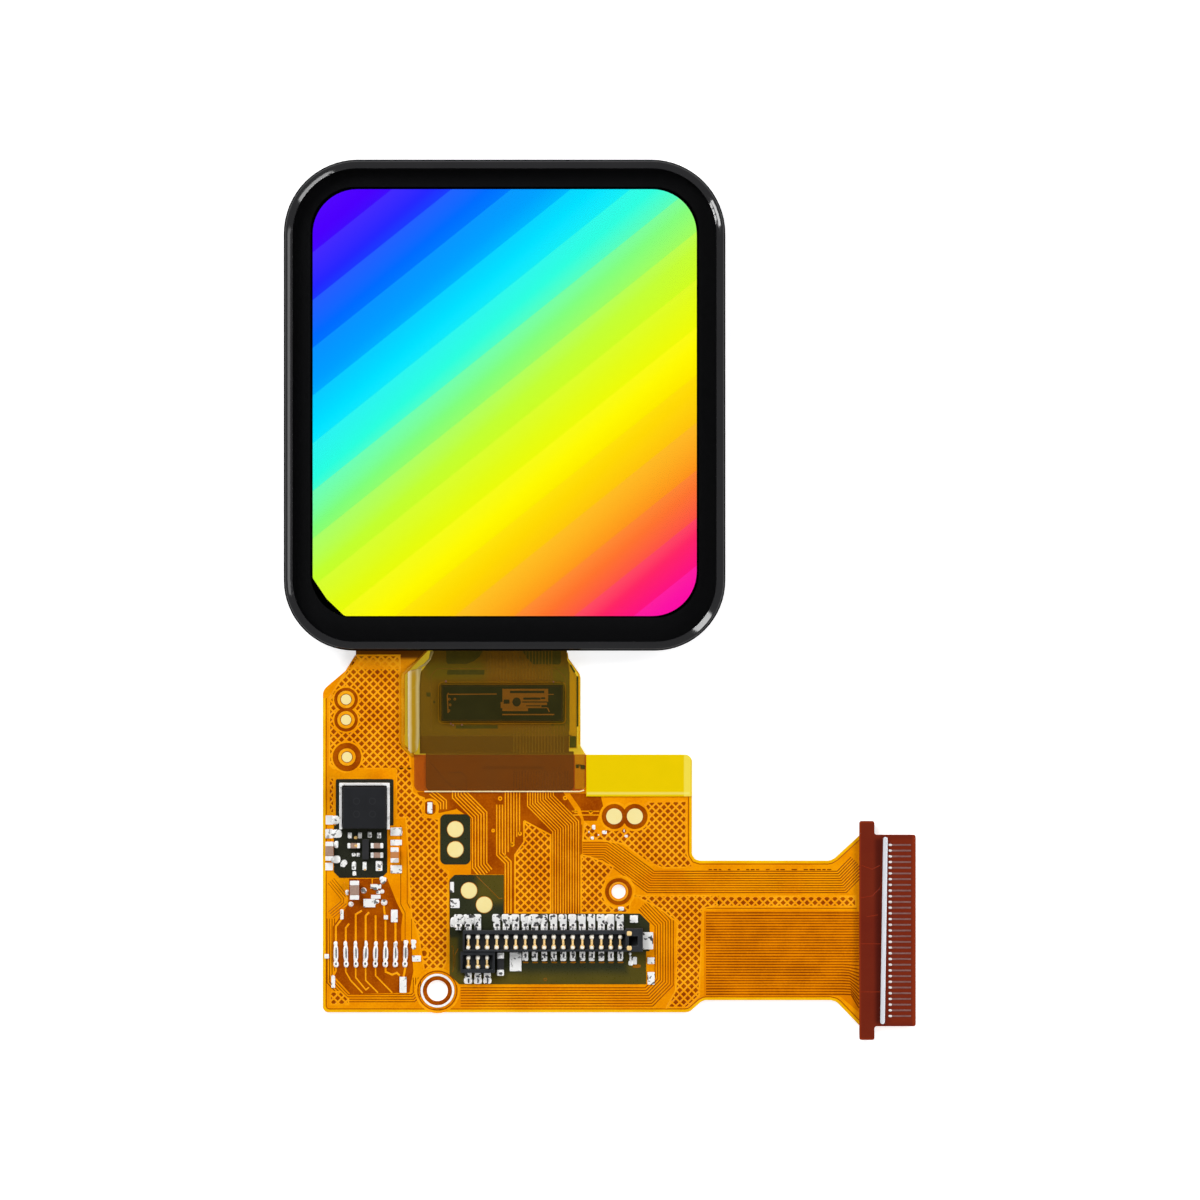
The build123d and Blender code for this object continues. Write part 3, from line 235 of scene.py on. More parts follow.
# Meshes
class Shape:
    """Points in millimetres and faces, which become one piece."""

    def __init__(self):
        self.points = []
        self.faces = []

    def add(self, points, faces):
        first = len(self.points)
        self.points += [tuple(p) for p in points]
        self.faces += [tuple(first + i for i in face) for face in faces]

    def prism(self, corners, low, high, inset=0.0):
        """Upright prism on places on the films that run clockwise, with its top edge drawn in."""
        outline = route(corners)[::-1]
        count = len(outline)
        upper = shrink(outline, inset) if inset else outline
        points = [(x, y, low) for x, y in outline] + [(x, y, high) for x, y in upper]
        sides = [(i, (i + 1) % count, count + (i + 1) % count, count + i) for i in range(count)]
        caps = [tuple(reversed(range(count))), tuple(range(count, 2 * count))]
        self.add(points, sides + caps)

    def tube(self, rings):
        """Closed body that runs through rings of four points."""
        last = 4 * (len(rings) - 1)
        faces = [(0, 1, 2, 3)]
        for i in range(0, last, 4):
            faces += [(i + k, i + 4 + k, i + 4 + (k + 1) % 4, i + (k + 1) % 4) for k in range(4)]
        faces.append((last + 3, last + 2, last + 1, last))
        self.add([point for ring in rings for point in ring], faces)

    def strip(self, line, width, low, high, slant=0.2):
        """Flat strip along a line, with sloping sides; slant is their share of the width."""
        foot, top = width / 2, width * (0.5 - slant)
        sides = [offset_line(line, reach) for reach in (foot, top, -top, -foot)]
        self.tube([((*a, low), (*b, high), (*c, high), (*d, low)) for a, b, c, d in zip(*sides)])

    def path(self, places, width, low, high, slant=0.2, step=None):
        """Strip through places on the films, cut into short steps where it has to drape."""
        line = route(places)
        self.strip(divided(line, step) if step else line, width, low, high, slant)

    def rows(self, runs, low, high):
        """Strips side by side through places on the films: places, how many, their pitch and their width."""
        for places, count, pitch, width in runs:
            for i in range(count):
                self.strip(offset_line(route(places), (i - (count - 1) / 2) * pitch), width, low, high)

    def ribbon(self, rows, low, high):
        """Flat band across rows of v, left u and right u, which it follows when it is lifted."""
        points = []
        for v, left, right in rows:
            (a, y), (b, _) = place(left, v), place(right, v)
            points += [(a, y, low), (a, y, high), (b, y, high), (b, y, low)]
        last = 4 * (len(rows) - 1)
        faces = [(0, 3, 2, 1)]
        for i in range(0, last, 4):
            faces += [(i + k, i + (k + 1) % 4, i + 4 + (k + 1) % 4, i + 4 + k) for k in range(4)]
        faces.append((last, last + 1, last + 2, last + 3))
        self.add(points, faces)

    def band(self, u, v, inner, outer, low, high, steps=48):
        """Flat ring round a place on the films."""
        x, y = place(u, v)
        points, faces = [], []
        for i in range(steps):
            a = 2 * math.pi * i / steps
            for radius, z in ((outer, low), (outer, high), (inner, high), (inner, low)):
                points.append((x + radius * math.cos(a), y + radius * math.sin(a), z))
            here, ahead = 4 * i, 4 * ((i + 1) % steps)
            faces += [(here + k, ahead + k, ahead + (k + 1) % 4, here + (k + 1) % 4) for k in range(4)]
        self.add(points, faces)

    def dome(self, u, v, width, length, height, base, turn=0.0, square=2.5, steps=20, rows=6, rough=0.0):
        """Closed drop: a rounded outline that rises to a crown, on a flat seat."""
        centre = place(u, v)
        points, faces = [], []
        angle = math.radians(turn)
        wave = [random.uniform(-rough, rough) for _ in range(4)]
        for row in range(rows):
            t = 0.5 * math.pi * row / rows
            for i in range(steps):
                a = 2 * math.pi * i / steps
                swell = 1 + wave[0] * math.cos(2 * a + 9 * wave[1]) + wave[2] * math.cos(3 * a + 9 * wave[3])
                reach = 0.5 * swell * bulge(math.cos(t), 2.7)
                x, y = width * reach * bulge(math.cos(a), square), length * reach * bulge(math.sin(a), square)
                points.append((*turned(x, y, angle, centre), base + height * bulge(math.sin(t), 2.7)))
        points.append((*centre, base + height))
        last = (rows - 1) * steps
        for start in range(0, last, steps):
            around = [(start + i, start + (i + 1) % steps) for i in range(steps)]
            faces += [(a, b, b + steps, a + steps) for a, b in around]
        faces += [(last + i, last + (i + 1) % steps, last + steps) for i in range(steps)]
        faces.append(tuple(reversed(range(steps))))
        self.add(points, faces)

    def lift(self, rise):
        """Raises each point by a function of its X and Y."""
        self.points = [(x, y, z + rise(x, y)) for x, y, z in self.points]

    def piece(self, name, slot, material, smooth=False, replaces=()):
        """Makes the piece, gives it its finish and lets it ride on the body."""
        data = bpy.data.meshes.new(name)
        data.from_pydata([(x * MM, y * MM, z * MM) for x, y, z in self.points], [], self.faces)
        data.validate()
        whole = bmesh.new()
        whole.from_mesh(data)
        bmesh.ops.recalc_face_normals(whole, faces=whole.faces)
        whole.to_mesh(data)
        whole.free()
        data.polygons.foreach_set("use_smooth", [smooth] * len(data.polygons))
        data.materials.append(material)
        obj = bpy.data.objects.new(name, data)
        bpy.context.scene.collection.objects.link(obj)
        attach(obj, "root")
        if replaces:
            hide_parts(*replaces)


def make(name, slot, material, draw, *given, **more):
    """Lets a function draw a shape and makes it a piece."""
    shape = Shape()
    draw(shape, *given)
    shape.piece(name, slot, material, **more)


def route(places):
    """Places on the films as X and Y."""
    return [place(u, v) for u, v in places]


def divided(line, step):
    """A line with more points, at most a step apart."""
    found = [line[0]]
    for (ax, ay), (bx, by) in zip(line, line[1:]):
        count = max(1, math.ceil(math.hypot(bx - ax, by - ay) / step))
        found += [(ax + (bx - ax) * i / count, ay + (by - ay) * i / count) for i in range(1, count + 1)]
    return found


def bulge(share, power):
    """A sine or cosine made squarer by a power over 2."""
    return math.copysign(abs(share) ** (2.0 / power), share)


def turned(x, y, angle, centre):
    """A point turned about the origin and moved to a centre."""
    c, s = math.cos(angle), math.sin(angle)
    return centre[0] + x * c - y * s, centre[1] + x * s + y * c


def offset_line(line, distance):
    """The line moved sideways, to its left for a positive distance, with mitred corners."""
    found = []
    for i, (x, y) in enumerate(line):
        ahead = line[i + 1] if i + 1 < len(line) else None
        behind = line[i - 1] if i else None
        runs = [Vector((b[0] - a[0], b[1] - a[1])).normalized()
                for a, b in ((behind, (x, y)), ((x, y), ahead)) if a and b]
        sides = [Vector((-run.y, run.x)) for run in runs]
        middle = sum(sides, Vector((0, 0))).normalized()
        side = middle / max(0.35, middle.dot(sides[0]))
        found.append((x + side.x * distance, y + side.y * distance))
    return found


def shrink(outline, distance):
    """A closed outline drawn in by a distance."""
    wrapped = offset_line([outline[-1], *outline, outline[0]], distance)
    return wrapped[1:-1]


EDGE_ANGLE = 35


def dress(node, material, bevel=0.0, segments=2):
    """Gives a node its finish and, where asked, joins its faces and rounds its sharp edges."""
    obj = nodes[node]
    obj.data.materials.clear()
    obj.data.materials.append(material)
    if bevel:
        join = obj.modifiers.new("join", "WELD")
        join.merge_threshold = 0.001 * MM
        edge = obj.modifiers.new("edge", "BEVEL")
        edge.width = bevel * MM
        edge.segments = segments
        edge.limit_method = "ANGLE"
        edge.angle_limit = math.radians(EDGE_ANGLE)
        edge.harden_normals = False


# Finishes
def metal_finish(name, shade, dark, roughness, grain):
    """Plated or soldered metal with uneven sheen and small dark flecks."""
    finish = Finish(name)
    cloud = finish.noise(grain, 4.0)
    fleck = finish.mask(finish.noise(grain * 2.5, 2.0), 0.62, 0.72)
    return finish.surface(
        Base_Color=finish.tones(fleck * 0.5, shade, dark), Metallic=0.2, Roughness=roughness + 0.25 * cloud,
        Normal=finish.bump(finish.noise(grain * 1.6, 3.0), 0.004))


def moulded_finish(name, shade, light, roughness):
    """Black or coloured plastic with fine moulded grain and paler patches."""
    finish = Finish(name)
    colour = finish.tones(finish.mask(finish.noise(1.2, 4.0), 0.35, 0.75), shade, light)
    return finish.coat(colour, roughness, 0.15, finish.noise(30.0, 2.0), 0.003)


# Settings
class PictureSettings(bpy.types.PropertyGroup):
    """The test pattern on the screen."""

    band_pitch: bpy.props.FloatProperty(
        name="Band pitch", description="Height of a band, measured up the screen, in millimetres",
        default=2.51, min=0.5, max=10.0)
    band_slope: bpy.props.FloatProperty(
        name="Band slope", description="Rise of a band for each millimetre to the right", default=0.8)
    first_band: bpy.props.FloatProperty(
        name="First band", description="Where the second band starts, down from the corner, in millimetres",
        default=3.33)
    drift: bpy.props.FloatProperty(
        name="Drift", description="How far a band's colour drifts towards the next band's", default=0.65,
        min=0.0, max=1.0, subtype="FACTOR")
    slant: bpy.props.FloatProperty(
        name="Slant", description="Share of a band that the colours run ahead by, a millimetre to the right",
        default=0.015, min=0.0, max=0.1)
    veil: bpy.props.FloatProperty(
        name="Veil", description="How much lighter a band is at its upper edge", default=0.075,
        min=0.0, max=1.0, subtype="FACTOR")


class CopperSettings(bpy.types.PropertyGroup):
    """The copper pattern of the circuit film."""

    height: bpy.props.FloatProperty(
        name="Height", description="Height of the copper lines above the film, in millimetres", default=0.009,
        min=0.004, max=0.015)
    mesh_pitch: bpy.props.FloatProperty(
        name="Mesh pitch", description="Distance between the lines of the mesh, in millimetres",
        default=0.296, min=0.1, max=1.0)
    mesh_width: bpy.props.FloatProperty(
        name="Mesh width", description="Width of the lines of the mesh, in millimetres", default=0.112,
        min=0.02, max=0.2)


class TapeSettings(bpy.types.PropertyGroup):
    """The clear tape over the driver film."""

    tint: bpy.props.FloatVectorProperty(
        name="Tint", description="Colour that passes through each face of the tape",
        default=(0.86, 0.72, 0.15), size=3, subtype="COLOR", min=0.0, max=1.0)
    haze: bpy.props.FloatProperty(
        name="Haze", description="Share of the tape's own colour", default=0.07, min=0.0, max=1.0,
        subtype="FACTOR")


class SolderSettings(bpy.types.PropertyGroup):
    """The drops of solder."""

    rise: bpy.props.FloatProperty(
        name="Rise", description="Height of the drops against their usual height",
        default=1.0, min=0.2, max=2.0)


class StageSettings(bpy.types.PropertyGroup):
    """The camera, the lamps and the floor."""

    lens: bpy.props.FloatProperty(
        name="Lens", description="Focal length in millimetres; the camera stands off to suit it",
        default=400.0, min=50.0)
    key_power: bpy.props.FloatProperty(
        name="Key lamp", description="Power of the main lamp", default=1.55, unit="POWER")
    spark_power: bpy.props.FloatProperty(
        name="Corner lamps", description="Power of each small lamp that draws a highlight on the glass's rim",
        default=0.56, unit="POWER")
    room: bpy.props.FloatProperty(
        name="Room light", description="Strength of the even light all round", default=0.8)
    floor_colour: bpy.props.FloatVectorProperty(
        name="Floor", description="Colour of the floor", default=(0.8, 0.8, 0.8), size=3, subtype="COLOR")


class FinishSettings(bpy.types.PropertyGroup):
    """All settings of the module's finish."""

    picture: bpy.props.PointerProperty(type=PictureSettings, name="Picture", description="The test pattern")
    copper: bpy.props.PointerProperty(type=CopperSettings, name="Copper", description="The copper pattern")
    tape: bpy.props.PointerProperty(type=TapeSettings, name="Tape", description="The clear tape")
    solder: bpy.props.PointerProperty(type=SolderSettings, name="Solder", description="The drops of solder")
    stage: bpy.props.PointerProperty(type=StageSettings, name="Stage", description="Camera and lamps")


def settings():
    return bpy.context.scene.module_finish


# Picture
SCREEN_GAMMA = 2.2
SCREEN_POWER = 1.13
# Where the colours stand still, in from the left side of the picture
SLANT_MIDDLE = 10.0
RAINBOW = [
    (0.27, 0.00, 0.98), (0.12, 0.13, 0.99), (0.00, 0.40, 0.99), (0.00, 0.61, 0.99), (0.00, 0.87, 1.00),
    (0.14, 0.98, 0.86), (0.49, 0.98, 0.46), (0.75, 0.98, 0.17), (0.88, 0.97, 0.05), (0.99, 0.96, 0.00),
    (0.99, 0.82, 0.00), (0.99, 0.66, 0.08), (0.99, 0.42, 0.14), (0.99, 0.10, 0.36), (0.98, 0.02, 0.62),
]


def picture_finish(choice):
    """Slanting bands that run through the rainbow, with a step at each edge and a drift between."""
    finish = Finish("lit_picture")
    x, y, _ = finish.axes()
    across = (x - LIT_LOW.x) * choice.band_slope + (LIT_HIGH.y - y)
    band = (across - choice.first_band) / choice.band_pitch + 1.0
    index = band.floor()
    share = band - index
    count = len(RAINBOW)
    ahead = choice.slant * (x - LIT_LOW.x - SLANT_MIDDLE)
    where = (index + 0.5 + choice.drift * (share ** 1.2 - 0.5) + ahead) / count
    colour = finish.ramp(where, [((i + 0.5) / count, shade) for i, shade in enumerate(RAINBOW)])
    colour = finish.node("ShaderNodeGamma", sockets={"Color": colour, "Gamma": 1 / SCREEN_GAMMA})
    colour = finish.mix(choice.veil * (1.0 - share), colour, WHITE)
    colour = finish.mix(0.01 * finish.noise(9.0, 2.0), colour, BLACK)
    colour = finish.node("ShaderNodeGamma", sockets={"Color": colour, "Gamma": SCREEN_GAMMA})
    return finish.surface(
        Base_Color=BLACK, Roughness=0.9, Specular_IOR_Level=0.0, Emission_Color=colour,
        Emission_Strength=SCREEN_POWER)


class DISPLAY_OT_picture(bpy.types.Operator):
    """Gives the emitting layer its lit test pattern"""

    bl_idname = "display.picture"
    bl_label = "Picture"

    def execute(self, context):
        dress("emitting_layer", picture_finish(settings().picture))
        return {"FINISHED"}


# Panel
# Corner radii of the glass, rim of the inner layers, and width, middle and curve of the glass's chamfer
LOWER_CORNER = 3.7
UPPER_CORNER = 3.9
RIM_WIDTH = 0.24
CHAMFER_WIDTH = 0.48
CHAMFER_MIDDLE = 0.235
CHAMFER_CURVE = 0.85


def outline_depth(finish, low, high):
    """Distance from the rounded outline of a layer: 0 on it and less than 0 inside it."""
    x, y, _ = finish.axes()
    middle = (low + high) / 2
    reach = high - middle
    corners = LOWER_CORNER + (UPPER_CORNER - LOWER_CORNER) * (y > middle.y)
    radius = corners - (GLASS_HIGH.x - high.x)
    over_x = (x - middle.x).size() - (reach.x - radius)
    over_y = (y - middle.y).size() - (reach.y - radius)
    corner = (over_x.over(0.0) ** 2.0 + over_y.over(0.0) ** 2.0) ** 0.5
    return corner + over_x.over(over_y).under(0.0) - radius


def rim_mask(finish, low, high, width):
    """1 in a rim along the rounded outline of a layer, and 0 inside it."""
    return finish.mask(outline_depth(finish, low, high), -width, 0.02 - width)


def glass_finish():
    """Polished cover glass: clear, with reflections that grow towards its edges, and black on its chamfer."""
    finish = Finish("polished_glass")
    clear = finish.clear((0.98, 0.985, 0.99))
    gloss = finish.node("ShaderNodeBsdfAnisotropic", sockets={"Color": WHITE, "Roughness": 0.03})
    slant = finish.node("ShaderNodeLayerWeight", sockets={"Blend": 0.5}, output=1)
    pane = finish.blend(0.006 + 0.25 * slant ** 6.0, clear, gloss)
    smudge = finish.noise(0.4, 4.0)
    inside = 0.0 - outline_depth(finish, GLASS_LOW, GLASS_HIGH)
    depth = inside.over(0.1).under(CHAMFER_WIDTH)
    tilt = finish.bump(CHAMFER_CURVE * (depth - CHAMFER_MIDDLE) * (depth - CHAMFER_MIDDLE), 1.0)
    black = finish.shader(
        Base_Color=finish.mix(smudge, (0.003, 0.003, 0.0035, 1.0), (0.008, 0.008, 0.009, 1.0)),
        Roughness=0.06 + 0.05 * smudge, Specular_IOR_Level=0.5, Normal=tilt)
    matt = finish.shader(
        Base_Color=finish.mix(smudge, (0.001, 0.001, 0.0012, 1.0), (0.004, 0.004, 0.0045, 1.0)),
        Roughness=0.9, Specular_IOR_Level=0.0)
    edge = finish.blend(finish.mask(inside, 0.05, 0.11), matt, black)
    return finish.show(finish.blend(rim_mask(finish, GLASS_LOW, GLASS_HIGH, CHAMFER_WIDTH), pane, edge))


def ink_finish():
    """Black printed border, dense and nearly matt, with fine screen grain."""
    finish = Finish("printed_ink")
    grain = finish.noise(24.0, 2.0)
    colour = finish.mix(grain, (0.0012, 0.0012, 0.0014, 1.0), (0.003, 0.003, 0.0034, 1.0))
    return finish.coat(colour, 0.55, 0.2, grain, 0.001, Specular_IOR_Level=0.08)


def foam_finish():
    """Black open foam on the back of the panel, with pores and a pressed seam round its edge."""
    finish = Finish("foam_pad")
    pores = finish.node("ShaderNodeTexVoronoi", {"feature": "SMOOTH_F1"}, {
        "Vector": finish.place(), "Scale": 7.0, "Smoothness": 0.4})
    soft = finish.noise(0.5, 4.0)
    colour = finish.ramp(0.6 * pores + 0.4 * soft, [
        (0.15, (0.06, 0.06, 0.062)), (0.5, (0.105, 0.105, 0.11)), (0.8, (0.15, 0.15, 0.155))])
    return finish.coat(colour, 0.75, 0.2, pores, 0.03)


def clear_finish(node, tint):
    """Clear inner layer with a dark cut edge: a tint and no reflection, as it is bonded to its neighbours."""
    finish = Finish(node)
    clear = finish.clear(tint)
    grain = finish.noise(3.0, 3.0)
    dark = finish.shader(
        Base_Color=finish.mix(grain, (0.006, 0.006, 0.007, 1.0), (0.015, 0.015, 0.017, 1.0)),
        Roughness=0.3 + 0.2 * grain)
    return finish.show(finish.blend(rim_mask(finish, *box_mm(node), RIM_WIDTH), clear, dark))


def draw_in(node, distance):
    """Draws a layer in by a hair, so that its faces don't lie exactly on its neighbours'."""
    shift = nodes[node].modifiers.new("hair", "DISPLACE")
    shift.strength = -distance * MM
    shift.mid_level = 0.0


class DISPLAY_OT_panel(bpy.types.Operator):
    """Finishes the layers of the panel, from the cover glass to the back pad"""

    bl_idname = "display.panel"
    bl_label = "Panel Layers"

    def execute(self, context):
        dress("cover_glass", glass_finish())
        dress("border_ink", ink_finish())
        for node, tint in (
                ("optical_adhesive", (0.995, 0.995, 0.99)), ("polarizer_film", (0.995, 0.995, 0.995)),
                ("encapsulation_glass", (0.99, 0.995, 0.99))):
            dress(node, clear_finish(node, tint))
            draw_in(node, 0.004)
        draw_in("border_ink", 0.003)
        dress("panel_substrate", moulded_finish("panel_glass", (0.12, 0.13, 0.14), (0.17, 0.18, 0.19), 0.08))
        dress("seal_ring", moulded_finish("glass_seal", (0.07, 0.07, 0.075), (0.12, 0.12, 0.125), 0.6))
        dress("back_pad", foam_finish())
        return {"FINISHED"}


# Circuit film
# Places on the films are (u, v): u from the film's left edge, v down from the glass's lower edge.
ARM_SLOPE_END = 1.9
# Rows of the brown area on the arm, and its left and right side at the panel
ARM_STEPS = 40
ARM_END = (1.75, 4.05)
MESH_AREAS = {
    "driver": [(10.58, 8.95), (11.99, 9.70), (11.99, 13.79), (10.11, 13.79), (10.11, 10.74), (10.58, 10.08)],
    "hole": [(13.59, 10.74), (14.25, 10.92), (15.28, 11.37), (14.98, 11.9), (14.78, 12.4), (14.76, 12.9),
             (14.92, 13.28), (15.3, 13.52), (15.8, 13.52), (16.16, 13.3), (16.13, 13.79), (13.59, 13.79)],
    "corner": [(17.25, 7.96), (19.12, 7.92), (19.12, 10.60), (19.45, 11.39), (17.91, 11.44), (17.07, 11.11),
               (15.84, 10.17), (14.62, 9.98), (13.68, 9.98), (13.78, 9.05), (14.62, 9.61)],
    "side": [(16.41, 12.90), (20.82, 12.90), (20.82, 13.41), (19.98, 13.56), (19.79, 18.16), (19.13, 18.78),
             (18.10, 18.78), (18.57, 17.88), (18.66, 14.31), (17.72, 13.56)],
    "middle": [(3.88, 6.20), (4.62, 6.20), (4.72, 7.45), (4.95, 7.62), (5.33, 7.76), (5.33, 8.72),
               (6.10, 8.88), (6.10, 11.30), (6.60, 11.62), (6.54, 16.30), (6.30, 16.72), (5.33, 16.78),
               (5.00, 14.85), (4.68, 14.04), (4.60, 13.24), (4.48, 10.42), (4.36, 8.80), (3.88, 8.80)],
    "arm": [(1.75, 0.25), (4.05, 0.25), (4.05, 4.80), (4.55, 5.40), (4.62, 6.20), (0.55, 6.20), (0.35, 6.0),
            (0.35, 2.5)],
    "edge": [(0.33, 6.70), (0.58, 6.70), (0.58, 8.55), (0.33, 8.55)],
    "tail": [(20.82, 12.93), (28.05, 12.93), (28.05, 13.46), (20.82, 13.46)],
    "foot": [(0.38, 17.95), (0.95, 17.95), (1.35, 18.35), (1.35, 18.62), (0.38, 18.62)],
}
MESH_BORDER = 0.1
# Round places that the mesh keeps clear of: u, v and radius
MESH_CLEARINGS = [
    (1.22, 2.57, 0.64), (1.22, 3.64, 0.64), (1.27, 5.60, 0.78), (15.33, 8.72, 0.72), (16.42, 8.72, 0.72),
    (15.56, 12.68, 0.82), (6.03, 17.89, 1.12), (5.63, 8.27, 0.42), (5.32, 15.93, 0.2),
]
# Further areas without a copper plane
BARE_AREAS = [
    [(7.34, 7.45), (12.65, 7.45), (13.59, 8.86), (13.54, 13.82), (9.53, 13.82), (9.53, 11.77), (7.80, 11.77),
     (7.80, 8.85), (7.0, 8.3), (7.0, 7.45)],
    [(1.38, 12.0), (3.39, 12.0), (3.88, 13.24), (4.20, 13.88), (4.12, 14.52), (4.12, 15.25), (4.68, 15.49),
     (4.76, 16.86), (4.55, 17.99), (1.46, 18.07), (0.65, 17.18), (0.53, 16.30), (0.53, 14.52), (1.06, 13.80),
     (1.38, 13.24)],
    [(13.0, 7.52), (14.6, 7.52), (14.75, 8.2), (14.4, 8.95), (13.75, 8.95), (13.55, 8.3)],
    [(4.95, 7.45), (7.0, 7.45), (7.0, 8.35), (6.1, 8.55), (5.95, 7.9), (5.2, 7.8)],
]
# Copper lines: places, how many side by side, their pitch and their width
COPPER_LINES = [
    ([(11.45, 7.42), (11.45, 7.9), (12.78, 9.25), (12.78, 13.82)], 11, 0.136, 0.068),
    ([(7.2, 7.42), (7.2, 7.6), (8.25, 8.65), (8.25, 11.3), (8.6, 11.75)], 6, 0.150, 0.08),
    ([(9.3, 8.1), (9.3, 10.7), (9.75, 11.15), (9.75, 13.82)], 3, 0.150, 0.08),
    ([(5.7, 7.42), (6.35, 7.95), (6.35, 8.35)], 3, 0.150, 0.075),
    ([(13.1, 8.55), (14.55, 8.55)], 2, 0.2, 0.075),
]
COPPER_LINES += [(places, 1, 0.0, width) for places, width in (
    ([(1.73, 15.3), (1.73, 13.88), (2.06, 13.68)], 0.12),
    ([(0.684, 15.3), (0.684, 14.52), (0.99, 14.12)], 0.12),
    ([(1.207, 15.3), (1.207, 14.6), (1.38, 14.36)], 0.12),
    ([(2.253, 15.3), (2.253, 13.96), (2.43, 13.76)], 0.12),
    ([(2.776, 15.3), (2.776, 13.92)], 0.12),
    ([(3.299, 15.3), (3.299, 14.1), (3.22, 13.6), (3.22, 13.35)], 0.12),
    ([(3.822, 15.3), (3.822, 14.25)], 0.13),
    ([(0.684, 16.64), (0.684, 16.85), (0.54, 17.12)], 0.12),
    ([(1.207, 16.64), (1.207, 16.9), (1.46, 17.35), (2.1, 18.02)], 0.09),
    ([(1.73, 16.64), (1.73, 17.2), (2.26, 17.85), (2.43, 17.72)], 0.09),
    ([(2.253, 16.64), (2.253, 17.35), (2.9, 18.0)], 0.09),
    ([(2.776, 16.64), (2.776, 17.1), (3.65, 18.0)], 0.09),
    ([(3.3, 16.64), (3.3, 16.9), (3.65, 17.05), (3.9, 16.95), (4.05, 17.1)], 0.12),
    ([(4.345, 16.64), (4.24, 17.2)], 0.13),
    ([(1.1, 12.2), (1.3, 12.6), (1.2, 13.3)], 0.08),
    ([(2.6, 12.0), (2.6, 12.3)], 0.08),
)]
# Short lines that start side by side: u and the v where they end
SHORT_START = 7.42
SHORT_WIDTH = 0.075
SHORT_LINES = [(9.60, 10.90), (9.75, 10.60), (9.90, 10.30), (10.05, 10.15), (10.20, 9.80), (10.35, 9.60)]
# Small rings: u, v and radius
RING_MARKS = [
    (9.33, 7.78, 0.09), (8.96, 9.47, 0.07), (9.97, 10.2, 0.09), (10.37, 9.63, 0.08), (3.32, 14.03, 0.1),
    (13.3, 8.45, 0.07), (14.1, 8.5, 0.08), (12.75, 7.75, 0.09), (5.9, 8.0, 0.08),
]
# Gaps in the copper plane between lines: places, how many side by side, their pitch and their width
PLANE_GAPS = [
    ([(13.68, 10.42), (14.9, 10.42), (17.25, 12.17), (27.3, 12.17), (28.2, 11.25)], 10, 0.125, 0.054),
    ([(16.97, 13.27), (17.96, 14.31), (17.96, 17.41), (17.16, 18.22), (7.25, 18.22)], 8, 0.137, 0.056),
    ([(0.42, 14.1), (0.42, 17.4), (1.25, 18.28), (4.75, 18.28), (4.95, 18.08), (4.95, 17.2)], 4, 0.13, 0.05),
    ([(4.27, 9.2), (4.27, 13.3), (4.5, 13.75), (4.5, 15.3)], 2, 0.34, 0.04),
    ([(0.42, 12.1), (1.15, 13.0), (1.15, 13.3), (0.42, 13.9)], 4, 0.13, 0.034),
]
PLANE_GAPS += [(places, 1, 0.0, width) for places, width in (
    ([(9.42, 7.45), (9.42, 9.2)], 0.04),
    ([(9.95, 11.8), (9.95, 13.82)], 0.05),
    ([(13.62, 9.15), (13.62, 13.82)], 0.05),
    ([(0.40, 9.95), (0.40, 10.0)], 0.05),
    ([(20.0, 13.56), (28.1, 13.56)], 0.04),
)]
# The area of fine lines on the tail: left, upper, right and lower side
WINDOW = (20.06, 13.70, 28.21, 18.18)
WINDOW_LINES = 31
# Where the lines of the window start to spread
FAN_START = 27.35
# The row of dashes on the tail: where it starts and ends along u, and its v
DASHES = (20.3, 26.6, 11.52)
# Dark rings round the pads and holes: u, v, inner and outer radius
PAD_GAPS = [
    (6.03, 17.89, 0.56, 0.765), (6.03, 17.89, 1.0, 1.05), (15.56, 12.68, 0.515, 0.71),
    (15.33, 8.72, 0.425, 0.65), (16.42, 8.72, 0.425, 0.65), (1.22, 2.57, 0.465, 0.62),
    (1.22, 3.64, 0.465, 0.62), (1.27, 5.60, 0.465, 0.75), (1.22, 2.57, 0.275, 0.34),
    (1.22, 3.64, 0.275, 0.34), (1.27, 5.60, 0.275, 0.34),
]
# Outline of the film along its free sides
RIM_RUNS = [
    [(0.0, 2.5), (0.0, 18.73), (0.09, 18.94), (0.3, 19.03), (19.08, 19.03), (19.29, 18.98), (19.41, 18.91),
     (19.86, 18.51), (20.05, 18.41), (20.19, 18.39), (26.7, 18.39), (26.97, 18.46), (27.13, 18.57),
     (28.18, 19.66)],
    [(28.18, 9.77), (26.96, 10.89), (26.73, 11.02), (26.55, 11.05), (19.84, 11.05), (19.59, 10.97),
     (19.44, 10.76), (19.42, 10.6), (19.42, 7.70)],
]


def spans(start, run, outline, clearings):
    """Stretches of a straight line, as distances, that lie inside an outline and outside round clearings."""
    cuts = []
    for (ax, ay), (bx, by) in zip(outline, outline[1:] + outline[:1]):
        side_a = (ax - start[0]) * run[1] - (ay - start[1]) * run[0]
        side_b = (bx - start[0]) * run[1] - (by - start[1]) * run[0]
        if (side_a > 0) != (side_b > 0):
            share = side_a / (side_a - side_b)
            x, y = ax + (bx - ax) * share, ay + (by - ay) * share
            cuts.append((x - start[0]) * run[0] + (y - start[1]) * run[1])
    cuts.sort()
    kept = list(zip(cuts[::2], cuts[1::2]))
    for x, y, radius in clearings:
        along = (x - start[0]) * run[0] + (y - start[1]) * run[1]
        aside = (x - start[0]) * run[1] - (y - start[1]) * run[0]
        if abs(aside) < radius:
            half = math.sqrt(radius * radius - aside * aside)
            split = []
            for a, b in kept:
                split += [(a, min(b, along - half)), (max(a, along + half), b)]
            kept = split
    return [(a, b) for a, b in kept if b - a > 0.06]


